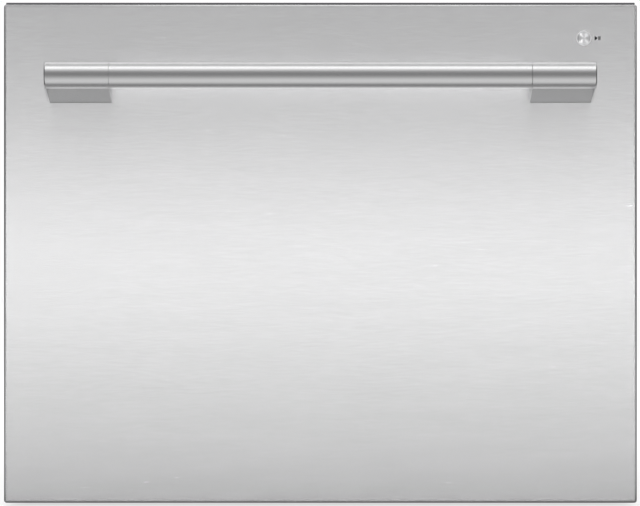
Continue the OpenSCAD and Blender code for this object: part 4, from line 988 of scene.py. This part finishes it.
def small_screws(bm, places, y):
    """Domed cover screws with a dimple in each, which stand out of a face at y."""
    head = [(0, y - 0.5), (2.8, y - 0.5), (2.8, y + 0.5), (2.2, y + 1.1), (1.3, y + 1.3), (0.9, y + 0.5),
            (0, y + 0.4)]
    for x, z in places:
        add_to(bm, turned(head, (x * mm, z * mm), 20))


def inlet_valve():
    """The inlet: a moulded case with screws, and a threaded mouth with its cone strainer."""
    bm = bmesh.new()
    rounded_block(bm, (-223, BACK_Y, 47), (-177, 288.6, 99), 4, 0.6)
    rounded_block(bm, (-224, 288.6, 46), (-176, 296.6, 100), 4, 1.2)
    rounded_block(bm, (-212, 296.0, 84), (-188, 298.6, 96), 3, 0.8)
    mouth = [(0, 296.4), (17, 296.4), (17, 298.0), (16.4, 298.6), (12.2, 298.6), (12.0, 299.4)]
    turns, pitch = 6, 1.95
    for k in range(turns):
        y = 299.8 + pitch * k
        mouth += [(12.0, y), (13.2, y + 0.7), (13.2, y + 1.0), (12.0, y + 1.7)]
    mouth += [(11.8, 312.6), (9.4, 312.6), (9.0, 312.1), (9.0, 302.0), (6.6, 302.0), (5.0, 308.0), (4.2, 309.0),
              (0, 309.3)]
    add_to(bm, turned(mouth, (INLET_X * mm, PORT_Z * mm), 64))
    small_screws(bm, [(-218, 52), (-182, 52), (-218, 94), (-182, 94)], 296.6)
    placed(bm, "inlet_valve_moulded", "frame", "pale_plastic", "inlet_valve", crease=30)


def drain_outlet():
    """The drain's flange and barbed spigot."""
    bm = bmesh.new()
    spigot = [(7.5, BACK_Y), (20, BACK_Y), (20, 284.6), (19.2, 285.6), (12.4, 285.6), (10.4, 286.3),
              (9.4, 288.0)]
    barbs, pitch = 4, 5.4
    for k in range(barbs):
        y = 289.6 + pitch * k
        spigot += [(9.2, y), (10.0, y + 0.25), (9.95, y + 0.9), (9.1, y + 4.6)]
    spigot += [(8.7, 313.0), (8.2, 313.6), (7.7, 313.6), (7.5, 313.3), (7.5, BACK_Y)]
    add_to(bm, turned(spigot, (DRAIN_X * mm, PORT_Z * mm), 64))
    out = 16
    small_screws(bm, [(DRAIN_X + out * math.cos(a), PORT_Z + out * math.sin(a))
                      for a in (0.8, 2.35, 3.95, 5.5)], 285.6)
    placed(bm, "drain_outlet_moulded", "frame", "dark_plastic", "drain_outlet", crease=30)


def terminal_box():
    """The terminal box: base, overhanging cover with four screws, and a gland with its six-sided nut."""
    bm = bmesh.new()
    rounded_block(bm, (157.2, BACK_Y, 45.2), (222.8, 298.4, 92.8), 4.5, 0.5)
    rounded_block(bm, (156, 298.4, 44), (224, 304.6, 94), 5, 1.2)
    small_screws(bm, [(163, 51), (217, 51), (163, 87), (217, 87)], 304.4)
    centre = (GLAND_X * mm, PORT_Z * mm)
    add_to(bm, turned([(4.5, 303.0), (9.0, 303.0), (9.0, 305.6), (8.6, 306.0), (4.5, 306.0), (4.5, 303.0)],
                      centre, 48))
    nut = bmesh.new()
    lying = (Matrix.Translation((GLAND_X * mm, 308.6 * mm, PORT_Z * mm))
             @ Matrix.Rotation(math.radians(90), 4, "X"))
    bmesh.ops.create_cone(nut, cap_ends=True, segments=6, radius1=9.0 * mm, radius2=9.0 * mm, depth=4.4 * mm,
                          matrix=lying)
    soften(nut, 0.5 * mm, 2, 30)
    add_to(bm, nut)
    add_to(bm, turned([(0, 310.4), (7.6, 310.4), (7.5, 311.6), (6.6, 313.1), (5.6, 313.6), (4.9, 313.6),
                       (4.5, 313.2), (4.3, 311.2), (0, 311.2)], centre, 48))
    placed(bm, "terminal_box_moulded", "frame", "dark_plastic", "terminal_box", crease=30)


inlet_valve()
drain_outlet()
terminal_box()

dress_the_rest({"front_skin", "control_strip", "handle_bar", "handle_bracket_left", "handle_bracket_right",
                "start_button", "button_bezel", "start_symbol", "rack", "rack_ends", "rack_sides",
                "tine_row_front", "tine_row_rear", "cup_shelf_left", "cup_shelf_right", "cutlery_basket",
                "spray_arm", "inlet_valve", "drain_outlet", "terminal_box"})

# ---------------------------------------------------------------- end

scene.view_settings.view_transform = "Standard"
